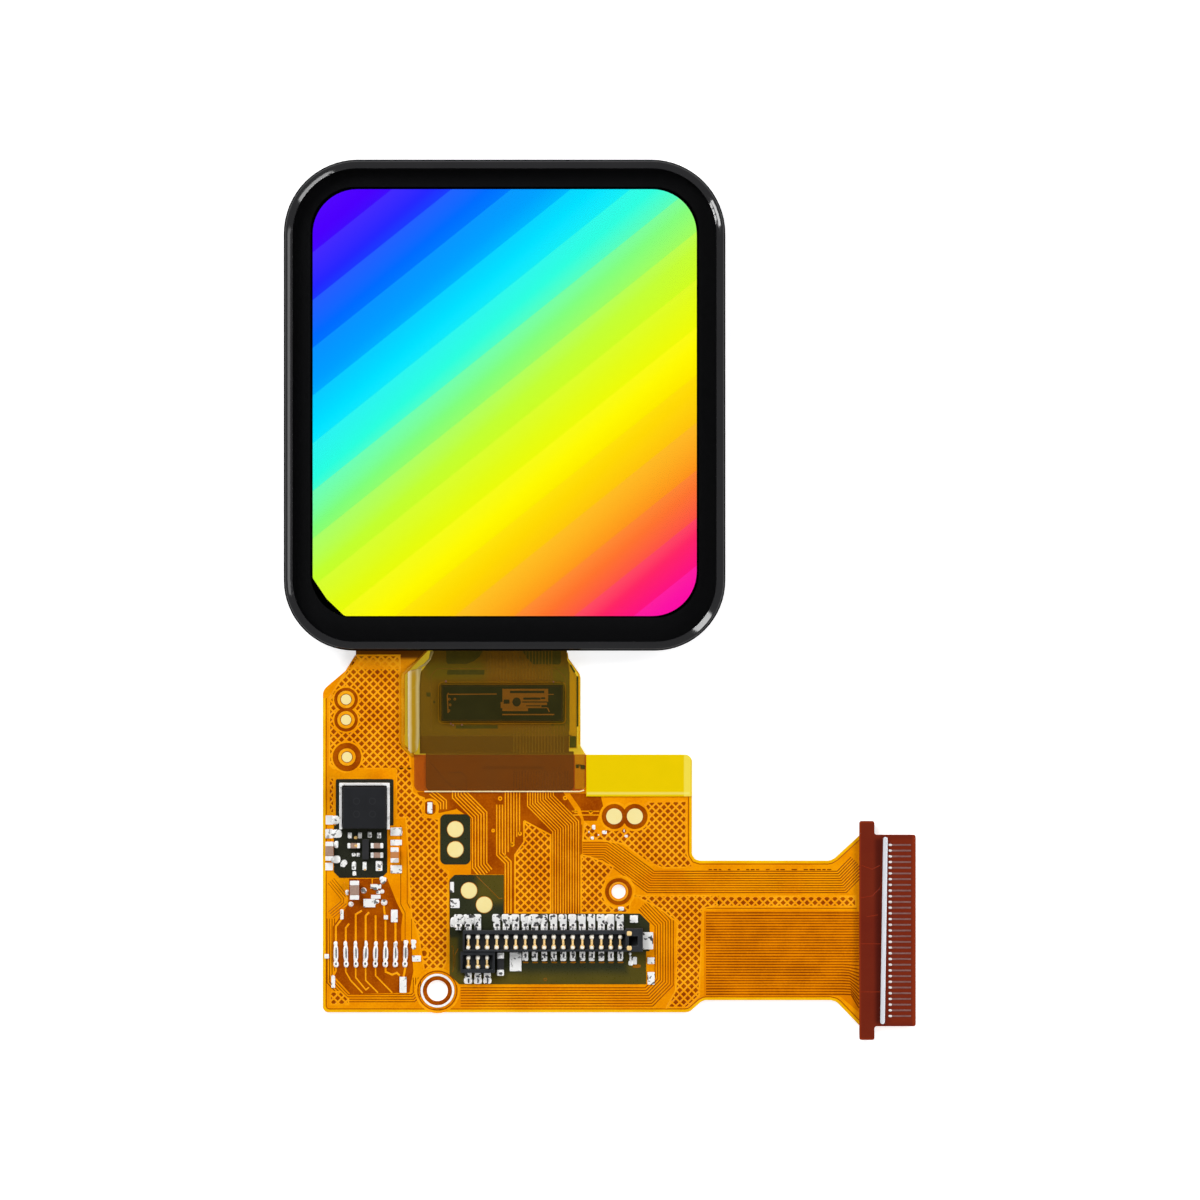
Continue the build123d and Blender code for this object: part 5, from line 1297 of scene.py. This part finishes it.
class DISPLAY_OT_tail(bpy.types.Operator):
    """Finishes the plate at the end of the tail, its contacts and the pale bar"""

    bl_idname = "display.tail"
    bl_label = "Tail End"

    def execute(self, context):
        dress("tail_stiffener", self.plate_finish(), 0.03)
        dress("tail_contacts", self.contact_finish())
        dress("tail_bar", self.bar_finish(), 0.03, 3)
        tin = metal_finish("dot_tin", (0.95, 0.94, 0.93), (0.7, 0.66, 0.64), 0.25, 6.0)
        make("contact_dots", "tin", tin, self.draw_dots, smooth=True)
        mark = copper_finish("plate_mark", (0.55, 0.16, 0.08), (0.60, 0.20, 0.09), 0.001)
        make("plate_marks", "red_stiffener", mark, self.draw_marks)
        return {"FINISHED"}

    def draw_dots(self, shape):
        """Bright dot at the start of each contact."""
        low, high = box_mm("tail_contacts")
        pitch = (high.y - low.y - 2 * DOT_INSET) / (CONTACTS - 1)
        for i in range(CONTACTS):
            v = GLASS_LOW.y - (low.y + DOT_INSET + pitch * i)
            shape.dome(DOT_U, v, 0.19, 0.13, 0.05, high.z - 0.021, steps=12, rows=4)

    def draw_marks(self, shape):
        """Scratches on the plate."""
        for places in PLATE_MARKS:
            shape.path(places, 0.03, FILM_TOP + 0.1995, FILM_TOP + 0.2025)

    def plate_finish(self):
        """Red-brown laminate: orange at its cut edges, shaded beside the bar, with faint cloth grain."""
        finish = Finish("red_plate")
        slow = finish.noise(0.5, 5.0)
        grain = finish.noise(1.0, 3.0, (4.0, 14.0, 4.0))
        colour = finish.tones(slow, (0.41, 0.12, 0.08), (0.47, 0.17, 0.09))
        edge = 1.0 - finish.patch(28.42, 9.1, 31.02, 20.4, 0.06)
        ears = 1.0 - finish.patch(28.30, 9.06, 29.0, 20.37, 0.03)
        colour = finish.mix(0.45 * edge * ears, colour, linear((0.62, 0.22, 0.08)))
        # The first box is a painted shadow beside the bar.
        colour = finish.shaded(colour, [
            (0.55, (29.05, 9.9, 29.4, 19.6), 0.14, (0.18, 0.05, 0.05)),
            (0.25, (29.9, 9.9, 31.3, 19.6), 0.15, (0.56, 0.20, 0.08))])
        return finish.coat(colour, 0.16, 0.14, grain, 0.002, Specular_IOR_Level=0.3)

    def contact_finish(self):
        """Thin grey lines that fade at both ends."""
        finish = Finish("grey_tin")
        grain = finish.noise(1.0, 3.0, (3.0, 20.0, 3.0))
        colour = finish.tones(grain, (0.46, 0.27, 0.25), (0.62, 0.46, 0.44))
        return finish.coat(colour, 0.3, 0.2, grain, 0.002, Metallic=0.2)

    def bar_finish(self):
        """Pale bar, glossy like a drawn wire, with faint marks along it."""
        finish = Finish("pale_bar")
        grain = finish.noise(1.0, 4.0, (12.0, 0.8, 12.0))
        colour = finish.tones(grain, (0.88, 0.90, 0.93), (0.97, 0.98, 1.0))
        return finish.coat(colour, 0.15, 0.2, grain, 0.004, Metallic=0.15, Coat_Weight=0.5)


# Parts on the circuit film
JOINT_PITCH = 0.523
FIRST_JOINT = 0.684
JOINTS = 8
# Extra drops of solder: u, v, width, height along v, rise. The taller ones stand on the dark mask.
TALLEST_ON_FILM = 0.075
BEADS = [
    (0.68, 8.91, 0.4, 0.46, 0.08), (0.72, 9.63, 0.58, 0.46, 0.08), (0.70, 10.2, 0.26, 0.36, 0.08),
    (0.68, 10.98, 0.5, 0.42, 0.08), (1.06, 11.25, 0.28, 0.3, 0.09), (1.42, 9.72, 0.2, 0.32, 0.08),
    (1.95, 9.72, 0.2, 0.32, 0.08),
    (2.47, 9.68, 0.2, 0.32, 0.08), (2.96, 9.72, 0.2, 0.3, 0.08), (1.64, 10.74, 0.2, 0.18, 0.08),
    (1.87, 10.74, 0.19, 0.2, 0.08), (1.64, 11.30, 0.24, 0.4, 0.09), (1.66, 11.72, 0.22, 0.24, 0.08),
    (2.20, 11.33, 0.22, 0.44, 0.09), (2.96, 11.33, 0.34, 0.5, 0.09), (3.86, 9.52, 0.62, 0.4, 0.06),
    (3.86, 10.1, 0.6, 0.3, 0.06), (3.86, 11.5, 0.6, 0.42, 0.06), (3.1, 12.0, 0.22, 0.26, 0.06),
    (1.28, 12.72, 0.18, 0.3, 0.05), (2.92, 12.72, 0.22, 0.2, 0.06), (2.78, 12.48, 0.3, 0.24, 0.06),
    (2.5, 13.28, 0.6, 0.42, 0.08), (2.85, 13.2, 0.25, 0.2, 0.06), (3.22, 13.25, 0.3, 0.3, 0.07),
    (3.24, 12.05, 0.22, 0.26, 0.07), (3.76, 13.95, 0.34, 0.62, 0.06), (1.0, 13.88, 0.16, 0.5, 0.05),
    (0.2, 16.08, 0.22, 0.22, 0.05), (0.54, 17.2, 0.2, 0.22, 0.05), (0.54, 17.63, 0.2, 0.22, 0.05),
    (0.54, 17.42, 0.12, 0.3, 0.03), (4.22, 17.58, 0.34, 0.8, 0.06), (4.77, 15.33, 0.3, 0.26, 0.05),
    (4.79, 15.6, 0.2, 0.24, 0.05), (4.93, 16.2, 0.44, 0.3, 0.05), (4.37, 15.33, 0.26, 0.2, 0.08),
    (5.63, 8.27, 0.24, 0.56, 0.04), (15.7, 13.58, 0.28, 0.2, 0.05), (6.80, 12.45, 0.2, 0.5, 0.05),
    (6.93, 13.28, 0.46, 0.46, 0.07), (14.25, 9.29, 0.2, 0.24, 0.03), (14.82, 9.56, 0.24, 0.22, 0.03),
    (14.18, 9.86, 0.18, 0.16, 0.03), (15.96, 9.76, 0.18, 0.14, 0.03), (15.85, 9.48, 0.07, 0.14, 0.02),
    (14.0, 9.55, 0.06, 0.12, 0.02), (14.5, 9.7, 0.08, 0.08, 0.02),
]
GOLD_BEADS = [
    (1.73, 9.84, 0.2, 0.18, 0.1), (2.6, 10.75, 0.12, 0.2, 0.14), (3.3, 14.03, 0.12, 0.14, 0.04),
    (1.74, 10.26, 0.3, 0.24, 0.27), (2.62, 10.28, 0.2, 0.2, 0.05), (2.22, 11.5, 0.12, 0.16, 0.1),
    (2.98, 11.5, 0.18, 0.12, 0.1),
]


def solder_finish(name, metallic, grain, dark):
    """Bright solder: white where it is smooth, with painted dark shade in spots over its dents and a little
    flux between.
    """
    finish = Finish(name)
    dents = finish.noise(grain, 1.5)
    spot = finish.mask(dents, 0.58, 0.63)
    # The dark spots are painted shade, placed over the dents.
    colour = finish.tones(spot * dark, (1.0, 1.0, 0.99), (0.13, 0.13, 0.14))
    return finish.surface(
        Base_Color=colour, Metallic=metallic, Roughness=0.22 + 0.3 * dents,
        Normal=finish.bump(dents, 0.012, 0.7))


def solder_shade_finish():
    """Painted shade on solder: dull grey, black in places."""
    return metal_finish("painted_solder_shade", (0.30, 0.30, 0.31), (0.05, 0.05, 0.05), 0.3, 5.0)


def gold_finish(name, shade, deep, metallic):
    """Plated gold, pale, with a soft bright spot and fine scratches."""
    finish = Finish(name)
    slow = finish.noise(1.8, 3.0)
    fine = finish.noise(1.0, 4.0, (20.0, 5.0, 5.0))
    colour = finish.tones(0.6 * slow + 0.3 * fine, shade, deep)
    return finish.coat(colour, 0.28, 0.2, fine, 0.002, Metallic=metallic)


class DISPLAY_OT_solder(bpy.types.Operator):
    """Finishes the pads, rings and joints on the circuit film and adds drops of solder"""

    bl_idname = "display.solder"
    bl_label = "Pads and Solder"

    def execute(self, context):
        choice = settings().solder
        gold = gold_finish("plated_gold", (1.0, 0.95, 0.70), (0.99, 0.89, 0.54), 0.05)
        bead_gold = gold_finish("solder_gold", (1.0, 0.88, 0.56), (0.90, 0.62, 0.24), 0.15)
        tin = solder_finish("bright_tin", 0.08, 3.4, 0.6)
        joint = solder_finish("joint_solder", 0.12, 3.2, 0.8)
        dress("test_pads", gold, 0.012)
        dress("pad_rings", copper_finish("ring_copper", (0.95, 0.60, 0.02), (0.99, 0.70, 0.12)), 0.01)
        dress("hole_rings", self.ring_finish(), 0.01)
        for node in ("chip_pads", "side_pads", "board_pads", "ground_pad"):
            dress(node, tin, 0.025)
        dress("solder_balls", joint, 0.03)
        make("solder_drops", "solder", joint, self.draw_drops, choice, smooth=True)
        lead = solder_finish("lead_solder", 0.08, 1.6, 0.25)
        # Painted shade on the long joints, drawn as dark streaks and spots.
        shade_streaks = Shape()
        make("joint_solder", "solder", lead, self.draw_joints, shade_streaks, smooth=True,
             replaces=("lead_joints",))
        shade_streaks.piece("joint_shade_streaks", "solder", solder_shade_finish(), smooth=True)
        make("gold_drops", "gold", bead_gold, self.draw_gold, smooth=True)
        return {"FINISHED"}

    def draw_drops(self, shape, choice):
        """Drops and blobs of solder on the film and on its mask."""
        for u, v, width, length, rise in BEADS:
            base = MASK_TOP if rise > TALLEST_ON_FILM else FILM_TOP
            shape.dome(u, v, width, length, rise * choice.rise + 0.02, base - 0.002, square=2.8, rough=0.09)

    def draw_gold(self, shape):
        """Small drops with a golden sheen beside the pads."""
        for u, v, width, length, rise in GOLD_BEADS:
            shape.dome(u, v, width, length, rise, MASK_TOP, square=2.4, rough=0.06)

    def draw_joints(self, shape, shade_streaks):
        """The long joints: a lobe at each end of a narrow body, with painted shade as a streak along the body
        and a spot on the lower lobe.
        """
        for i in range(JOINTS):
            u = FIRST_JOINT + JOINT_PITCH * i
            lean = random.uniform(-0.025, 0.025)
            shape.dome(u - lean, 15.42, 0.2, 0.32, 0.13, FILM_TOP, square=2.2, rough=0.1)
            shape.dome(u, 15.95, 0.27, 1.0, 0.155, FILM_TOP, turn=60 * lean, square=2.4, rough=0.08)
            shape.dome(u + lean, 16.49, 0.27, 0.38, 0.145, FILM_TOP, square=2.3, rough=0.1)
            # Painted shade along the body and on the lower lobe.
            shade_streaks.dome(u + 0.02, 15.9, 0.07, 0.6, 0.02, FILM_TOP + 0.15, turn=60 * lean, steps=12, rows=3)
            shade_streaks.dome(u + lean, 16.47, 0.09, 0.14, 0.02, FILM_TOP + 0.14, steps=12, rows=3)

    def ring_finish(self):
        """Rings of the holes: bright tin round the large one, copper round the small one."""
        finish = Finish("hole_ring")
        fine = finish.noise(8.0, 3.0)
        small = finish.patch(14.8, 11.9, 16.4, 13.5, 0.05)
        tin = finish.tones(fine, (0.97, 0.97, 0.96), (1.0, 1.0, 1.0))
        colour = finish.mix(small, tin, linear((0.97, 0.63, 0.06)))
        return finish.coat(colour, 0.25, 0.2, fine, 0.004, Specular_IOR_Level=0.3)


class DISPLAY_OT_power(bpy.types.Operator):
    """Finishes the power chip, its tin clip, the capacitors and the small chips"""

    bl_idname = "display.power"
    bl_label = "Power Section"

    def execute(self, context):
        dress("power_chip", self.chip_finish(), 0.03, 3)
        black = moulded_finish("black_package", (0.10, 0.10, 0.11), (0.14, 0.14, 0.15), 0.45)
        dress("regulator_chip", black, 0.02)
        dress("chip_resistor", black, 0.03)
        tin = solder_finish("clip_tin", 0.08, 2.6, 0.3)
        dress("chip_clip", tin, 0.035, 3)
        dress("capacitor_ends", tin, 0.04, 3)
        dress("resistor_ends", tin, 0.04, 3)
        dress("capacitor_bodies", self.ceramic_finish(), 0.035, 3)
        return {"FINISHED"}

    def chip_finish(self):
        """Ground black package with faint round marks of the mould pins."""
        finish = Finish("ground_package")
        x, y, _ = finish.axes()
        cx, cy = place(2.2, 8.25)
        slow = finish.noise(1.4, 4.0)
        fine = finish.noise(26.0, 3.0)
        colour = finish.tones(slow, (0.085, 0.09, 0.10), (0.12, 0.125, 0.14))
        away_x, away_y = (x - cx).size() - 0.42, (y - cy).size() - 0.34
        far = (away_x * away_x + away_y * away_y) ** 0.5
        ring = finish.mask((far - 0.16).size(), 0.012, 0.03)
        colour = finish.mix(0.25 * (1.0 - ring), colour, linear((0.22, 0.225, 0.235)))
        return finish.coat(colour, 0.42, 0.2, fine, 0.003, Specular_IOR_Level=0.25)

    def ceramic_finish(self):
        """Fired ceramic, pinkish brown with fine speckle; one of them is rust brown."""
        finish = Finish("brown_ceramic")
        speck = finish.noise(14.0, 4.0)
        colour = finish.tones(speck, (0.56, 0.44, 0.38), (0.72, 0.60, 0.53))
        colour = finish.shaded(colour, [(0.8, (3.4, 10.5, 4.2, 11.0), 0.05, (0.80, 0.50, 0.22))])
        return finish.coat(colour, 0.4, 0.2, speck, 0.004)


# Connector
FIRST_WAY = 7.65
WAY_PITCH = 0.5
WAYS = 17
SIDE_WAYS = 3


def ways(count, first=FIRST_WAY):
    """Places of contacts or tails along a connector."""
    return [first + WAY_PITCH * i for i in range(count)]


UPPER_TAILS = ways(3, 7.15) + ways(14, 9.15)
LOWER_TAILS = ways(11, 10.65)
# Solder on the anchors and beside them: u, v, width, height along v, rise
ANCHOR_BEADS = [
    (16.16, 15.95, 0.14, 0.16, 0.08), (16.2, 16.42, 0.26, 0.3, 0.08), (16.18, 16.2, 0.12, 0.3, 0.07),
    (16.36, 14.1, 0.4, 0.4, 0.08), (17.26, 16.3, 0.36, 0.34, 0.06), (17.26, 17.24, 0.36, 0.62, 0.06),
    (9.34, 16.95, 0.38, 0.34, 0.34), (9.34, 16.06, 0.36, 0.32, 0.34), (10.12, 16.3, 0.6, 0.9, 0.07),
    (6.86, 14.3, 0.3, 0.6, 0.06),
]


class DISPLAY_OT_connector(bpy.types.Operator):
    """Finishes the two connector housings, makes their spring contacts and their solder"""

    bl_idname = "display.connector"
    bl_label = "Connectors"

    def execute(self, context):
        housing = moulded_finish("black_housing", (0.10, 0.11, 0.125), (0.16, 0.17, 0.19), 0.38)
        dress("connector_housing", housing, 0.03)
        dress("side_housing", housing, 0.03)
        tin = solder_finish("tail_tin", 0.08, 4.2, 0.95)
        for node in ("connector_tails", "side_tails", "connector_anchors"):
            dress(node, tin, 0.035, 3)
        gold = gold_finish("spring_gold", (1.0, 0.93, 0.70), (0.97, 0.72, 0.36), 0.05)
        # The contacts' gold finish again in white, as a painted highlight.
        white = gold_finish("spring_tip_highlight", (1.0, 1.0, 0.98), (1.0, 0.95, 0.84), 0.02)
        make("contact_springs", "gold_contact", gold, self.draw_springs, smooth=True,
             replaces=("connector_contacts", "side_contacts"))
        make("contact_tip_highlights", "gold_contact", white, self.draw_tip_highlights, smooth=True)
        make("tail_solder", "solder", tin, self.draw_fillets, smooth=True)
        # Flat dark domes between the lobes of the tails' solder: painted shade.
        make("tail_solder_shade", "solder", solder_shade_finish(), self.draw_solder_shade, smooth=True)
        glow = copper_finish("warm_mask", (0.52, 0.33, 0.05), (0.68, 0.40, 0.06))
        make("warm_marks", "copper_ring", glow, self.draw_warm_marks, smooth=True)
        return {"FINISHED"}

    def draw_springs(self, shape):
        """Necks and lower beads of the contacts."""
        for u in ways(WAYS):
            shape.dome(u, 15.33, 0.13, 0.56, 0.16, 0.60, steps=14, rows=4)
            shape.dome(u, 15.60, 0.26, 0.28, 0.27, 0.60, square=2.6, rough=0.04)
        for u in ways(SIDE_WAYS):
            shape.dome(u, 16.38, 0.13, 0.5, 0.15, 0.50, steps=14, rows=4)
            shape.dome(u + 0.01, 16.63, 0.25, 0.24, 0.2, 0.50, square=2.6, rough=0.04)
        for u, v, size in ((16.12, 14.86, 0.26), (16.12, 15.63, 0.26)):
            shape.dome(u, v, size, size, 0.05, 1.03, square=3.2, rough=0.03)

    def draw_tip_highlights(self, shape):
        """Upper beads of the contacts, white as a painted highlight, and a small painted highlight on top of
        each lower bead.
        """
        for u in ways(WAYS):
            shape.dome(u, 15.05, 0.24, 0.28, 0.27, 0.60, square=2.6, rough=0.04)
            shape.dome(u, 15.62, 0.2, 0.2, 0.045, 0.84, steps=12, rows=4)
        for u in ways(SIDE_WAYS):
            shape.dome(u, 16.14, 0.23, 0.27, 0.2, 0.50, square=2.6, rough=0.04)
            shape.dome(u + 0.01, 16.66, 0.17, 0.16, 0.05, 0.675, steps=12, rows=4)

    def draw_fillets(self, shape):
        """Solder that has run round the feet of the tails."""
        for u in UPPER_TAILS:
            shape.dome(u - 0.03, 14.06, 0.44, 0.4, 0.1, MASK_TOP, square=5.0, rough=0.02)
            shape.dome(u - 0.11, 14.57, 0.15, 0.22, 0.345, MASK_TOP, square=2.8, rough=0.06)
            shape.dome(u + 0.10, 14.59, 0.15, 0.18, 0.345, MASK_TOP, square=2.8, rough=0.06)
            if random.random() < 0.4:
                shape.dome(u + 0.24, 14.16, 0.16, 0.5, 0.2, MASK_TOP, square=3.2, rough=0.06)
        for u in LOWER_TAILS:
            shape.dome(u, 16.2, 0.33, 0.26, 0.12, MASK_TOP, square=3.2, rough=0.05)
        for u in ways(SIDE_WAYS):
            shape.dome(u, 17.36, 0.44, 0.36, 0.12, MASK_TOP, square=3.4, rough=0.05)
        for u, v, width, length, rise in ANCHOR_BEADS:
            shape.dome(u, v, width, length, rise, MASK_TOP, square=3.0, rough=0.07)

    def draw_solder_shade(self, shape):
        """Painted shade between the lobes of the tails' solder, as flat dark domes."""
        for u in UPPER_TAILS:
            u += random.uniform(-0.05, 0.05)
            shape.dome(u, 14.44, random.uniform(0.12, 0.22), 0.14, 0.012, 0.555, rows=3, rough=0.15)
            shape.dome(u, 14.62, 0.07, 0.16, 0.012, 0.555, steps=12, rows=3, rough=0.15)
        for u in LOWER_TAILS:
            shape.dome(u + 0.02, 16.04, 0.11, 0.26, 0.012, 0.555, steps=14, rows=3, rough=0.15)
        for u in ways(SIDE_WAYS):
            shape.dome(u, 17.13, 0.2, 0.1, 0.012, 0.555, rows=3, rough=0.1)
            shape.dome(u + 0.02, 17.36, 0.1, 0.26, 0.012, 0.555, steps=14, rows=3, rough=0.15)

    def draw_warm_marks(self, shape):
        """Copper that shows at the feet of the lower tails and in thin lines under the mask."""
        low, top = MASK_TOP - 0.001, MASK_TOP + 0.003
        for points, width in (
                ([(6.77, 15.6), (6.80, 15.53), (6.86, 15.6), (6.86, 16.84), (6.80, 16.9)], 0.035),
                ([(6.95, 16.7), (6.95, 16.0), (7.12, 15.68)], 0.03),
                ([(8.1, 11.87), (9.28, 13.05), (9.45, 13.02)], 0.035)):
            shape.path(points, width, low, top)
        shape.band(11.7, 17.3, 0.05, 0.09, low, top, 16)
        for u in LOWER_TAILS:
            shape.dome(u + 0.02, 16.4, 0.34, 0.1, 0.004, MASK_TOP - 0.001, rows=2)
        shape.dome(16.5, 16.6, 0.5, 0.22, 0.004, MASK_TOP - 0.001, rows=2)


# Stage
def add_lamp(name, power, wide, high, at, aim):
    """Soft lamp, wide by high; places in millimetres."""
    data = bpy.data.lights.new(name, "AREA")
    data.energy = power
    data.shape = "RECTANGLE"
    data.size, data.size_y = wide * MM, high * MM
    lamp = bpy.data.objects.new(name, data)
    bpy.context.scene.collection.objects.link(lamp)
    lamp.location = Vector(at) * MM
    lamp.rotation_euler = (Vector(aim) - Vector(at)).to_track_quat("-Z", "Y").to_euler()


def shown_rays(finish):
    """1 for the camera's rays and for what metal and glass show, and 1 for the camera's alone."""
    camera, glossy, through = finish.node("ShaderNodeLightPath", output=(
        "Is Camera Ray", "Is Glossy Ray", "Is Transmission Ray"))
    return camera.over(glossy).over(through), camera


class DISPLAY_OT_stage(bpy.types.Operator):
    """Sets up the camera, the lamps, the world and the pale floor"""

    bl_idname = "display.stage"
    bl_label = "Stage"

    def execute(self, context):
        choice = settings().stage
        self.add_camera(choice)
        self.add_floor(choice)
        self.add_world(choice)
        aim = (5.0, -10.0, 0.0)
        add_lamp("key_lamp", choice.key_power, 260.0, 260.0, (-230.0, 260.0, 330.0), aim)
        add_lamp("upper_spark", choice.spark_power, 150.0, 84.0, (385.0, 138.0, 208.0), aim)
        add_lamp("left_spark", 0.2 * choice.spark_power, 150.0, 84.0, (-400.0, -20.0, 195.0), aim)
        add_lamp("lower_spark", 1.7 * choice.spark_power, 150.0, 170.0, (330.0, -290.0, 239.0), aim)
        context.scene.view_settings.view_transform = "Standard"
        return {"FINISHED"}

    def add_camera(self, choice):
        """Looks straight down, so that the frame covers what the photograph does."""
        data = bpy.data.cameras.new("camera")
        data.lens = choice.lens
        width = PHOTO_SIZE / PHOTO_SCALE
        camera = bpy.data.objects.new("camera", data)
        bpy.context.scene.collection.objects.link(camera)
        x = (PHOTO_SIZE / 2 - PHOTO_ORIGIN[0]) / PHOTO_SCALE
        y = (PHOTO_ORIGIN[1] - PHOTO_SIZE / 2) / PHOTO_SCALE
        camera.location = Vector((x, y, width * choice.lens / data.sensor_width)) * MM
        data.clip_start, data.clip_end = 0.001, 10.0
        bpy.context.scene.camera = camera

    def add_floor(self, choice):
        """Pale floor that keeps the shadow and shows white."""
        finish = Finish("pale_floor")
        cloud = finish.noise(0.02, 2.0)
        matt = finish.node("ShaderNodeBsdfDiffuse", sockets={
            "Color": finish.mix(cloud * 0.05, (*choice.floor_colour, 1.0), (0.7, 0.7, 0.7, 1.0))})
        shown, _ = shown_rays(finish)
        dark = finish.node("ShaderNodeEmission", sockets={"Strength": 0.0})
        glow = finish.node("ShaderNodeEmission", sockets={"Strength": 0.62})
        finish.show(finish.node("ShaderNodeAddShader", sockets={0: matt, 1: finish.blend(shown, dark, glow)}))
        reach = 3000.0
        corners = [(-reach, -reach, 0.0), (reach, -reach, 0.0), (reach, reach, 0.0), (-reach, reach, 0.0)]
        data = bpy.data.meshes.new("floor")
        data.from_pydata([Vector(c) * MM for c in corners], [], [(0, 1, 2, 3)])
        data.materials.append(finish.material)
        floor = bpy.data.objects.new("floor", data)
        bpy.context.scene.collection.objects.link(floor)

    def add_world(self, choice):
        """Even soft light, with a dark ceiling that keeps the glass black."""
        world = bpy.data.worlds.new("soft_room")
        bpy.context.scene.world = world
        finish = Finish(world=world)
        _, _, height = finish.axes(finish.node("ShaderNodeTexCoord"))
        room = finish.ramp(height, [
            (0.0, (0.80, 0.80, 0.81)), (0.60, (0.78, 0.78, 0.79)), (0.90, (0.35, 0.35, 0.36)),
            (0.96, (0.04, 0.04, 0.04))])
        _, camera = shown_rays(finish)
        light = finish.node("ShaderNodeBackground", sockets={"Color": room, "Strength": choice.room})
        white = finish.node("ShaderNodeBackground", sockets={"Color": WHITE, "Strength": 1.0})
        finish.node("ShaderNodeOutputWorld", sockets={"Surface": finish.blend(camera, light, white)})


class DISPLAY_PT_finish(bpy.types.Panel):
    """Lists the operators and their settings"""

    bl_label = "Display Module"
    bl_idname = "DISPLAY_PT_finish"
    bl_space_type = "VIEW_3D"
    bl_region_type = "UI"
    bl_category = "Display"

    def draw(self, context):
        for operator in OPERATORS:
            self.layout.operator(operator.bl_idname)
        choice = context.scene.module_finish
        for group in (choice.picture, choice.copper, choice.tape, choice.solder, choice.stage):
            box = self.layout.box()
            for name in group.__annotations__:
                box.prop(group, name)


OPERATORS = (DISPLAY_OT_panel, DISPLAY_OT_picture, DISPLAY_OT_film, DISPLAY_OT_copper, DISPLAY_OT_driver,
             DISPLAY_OT_tail, DISPLAY_OT_solder, DISPLAY_OT_power, DISPLAY_OT_connector, DISPLAY_OT_stage)
CLASSES = (PictureSettings, CopperSettings, TapeSettings, SolderSettings, StageSettings, FinishSettings,
           *OPERATORS, DISPLAY_PT_finish)


def register():
    for kind in CLASSES:
        bpy.utils.register_class(kind)
    bpy.types.Scene.module_finish = bpy.props.PointerProperty(
        type=FinishSettings, name="Module finish", description="Settings of the module's finish")


def unregister():
    del bpy.types.Scene.module_finish
    for kind in reversed(CLASSES):
        bpy.utils.unregister_class(kind)


def main():
    """Runs the operators in order."""
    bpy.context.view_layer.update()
    random.seed(7)
    register()
    bpy.ops.display.panel()
    bpy.ops.display.picture()
    bpy.ops.display.film()
    bpy.ops.display.copper()
    bpy.ops.display.driver()
    bpy.ops.display.tail()
    bpy.ops.display.solder()
    bpy.ops.display.power()
    bpy.ops.display.connector()
    bpy.ops.display.stage()


if __name__ == "__main__":
    main()
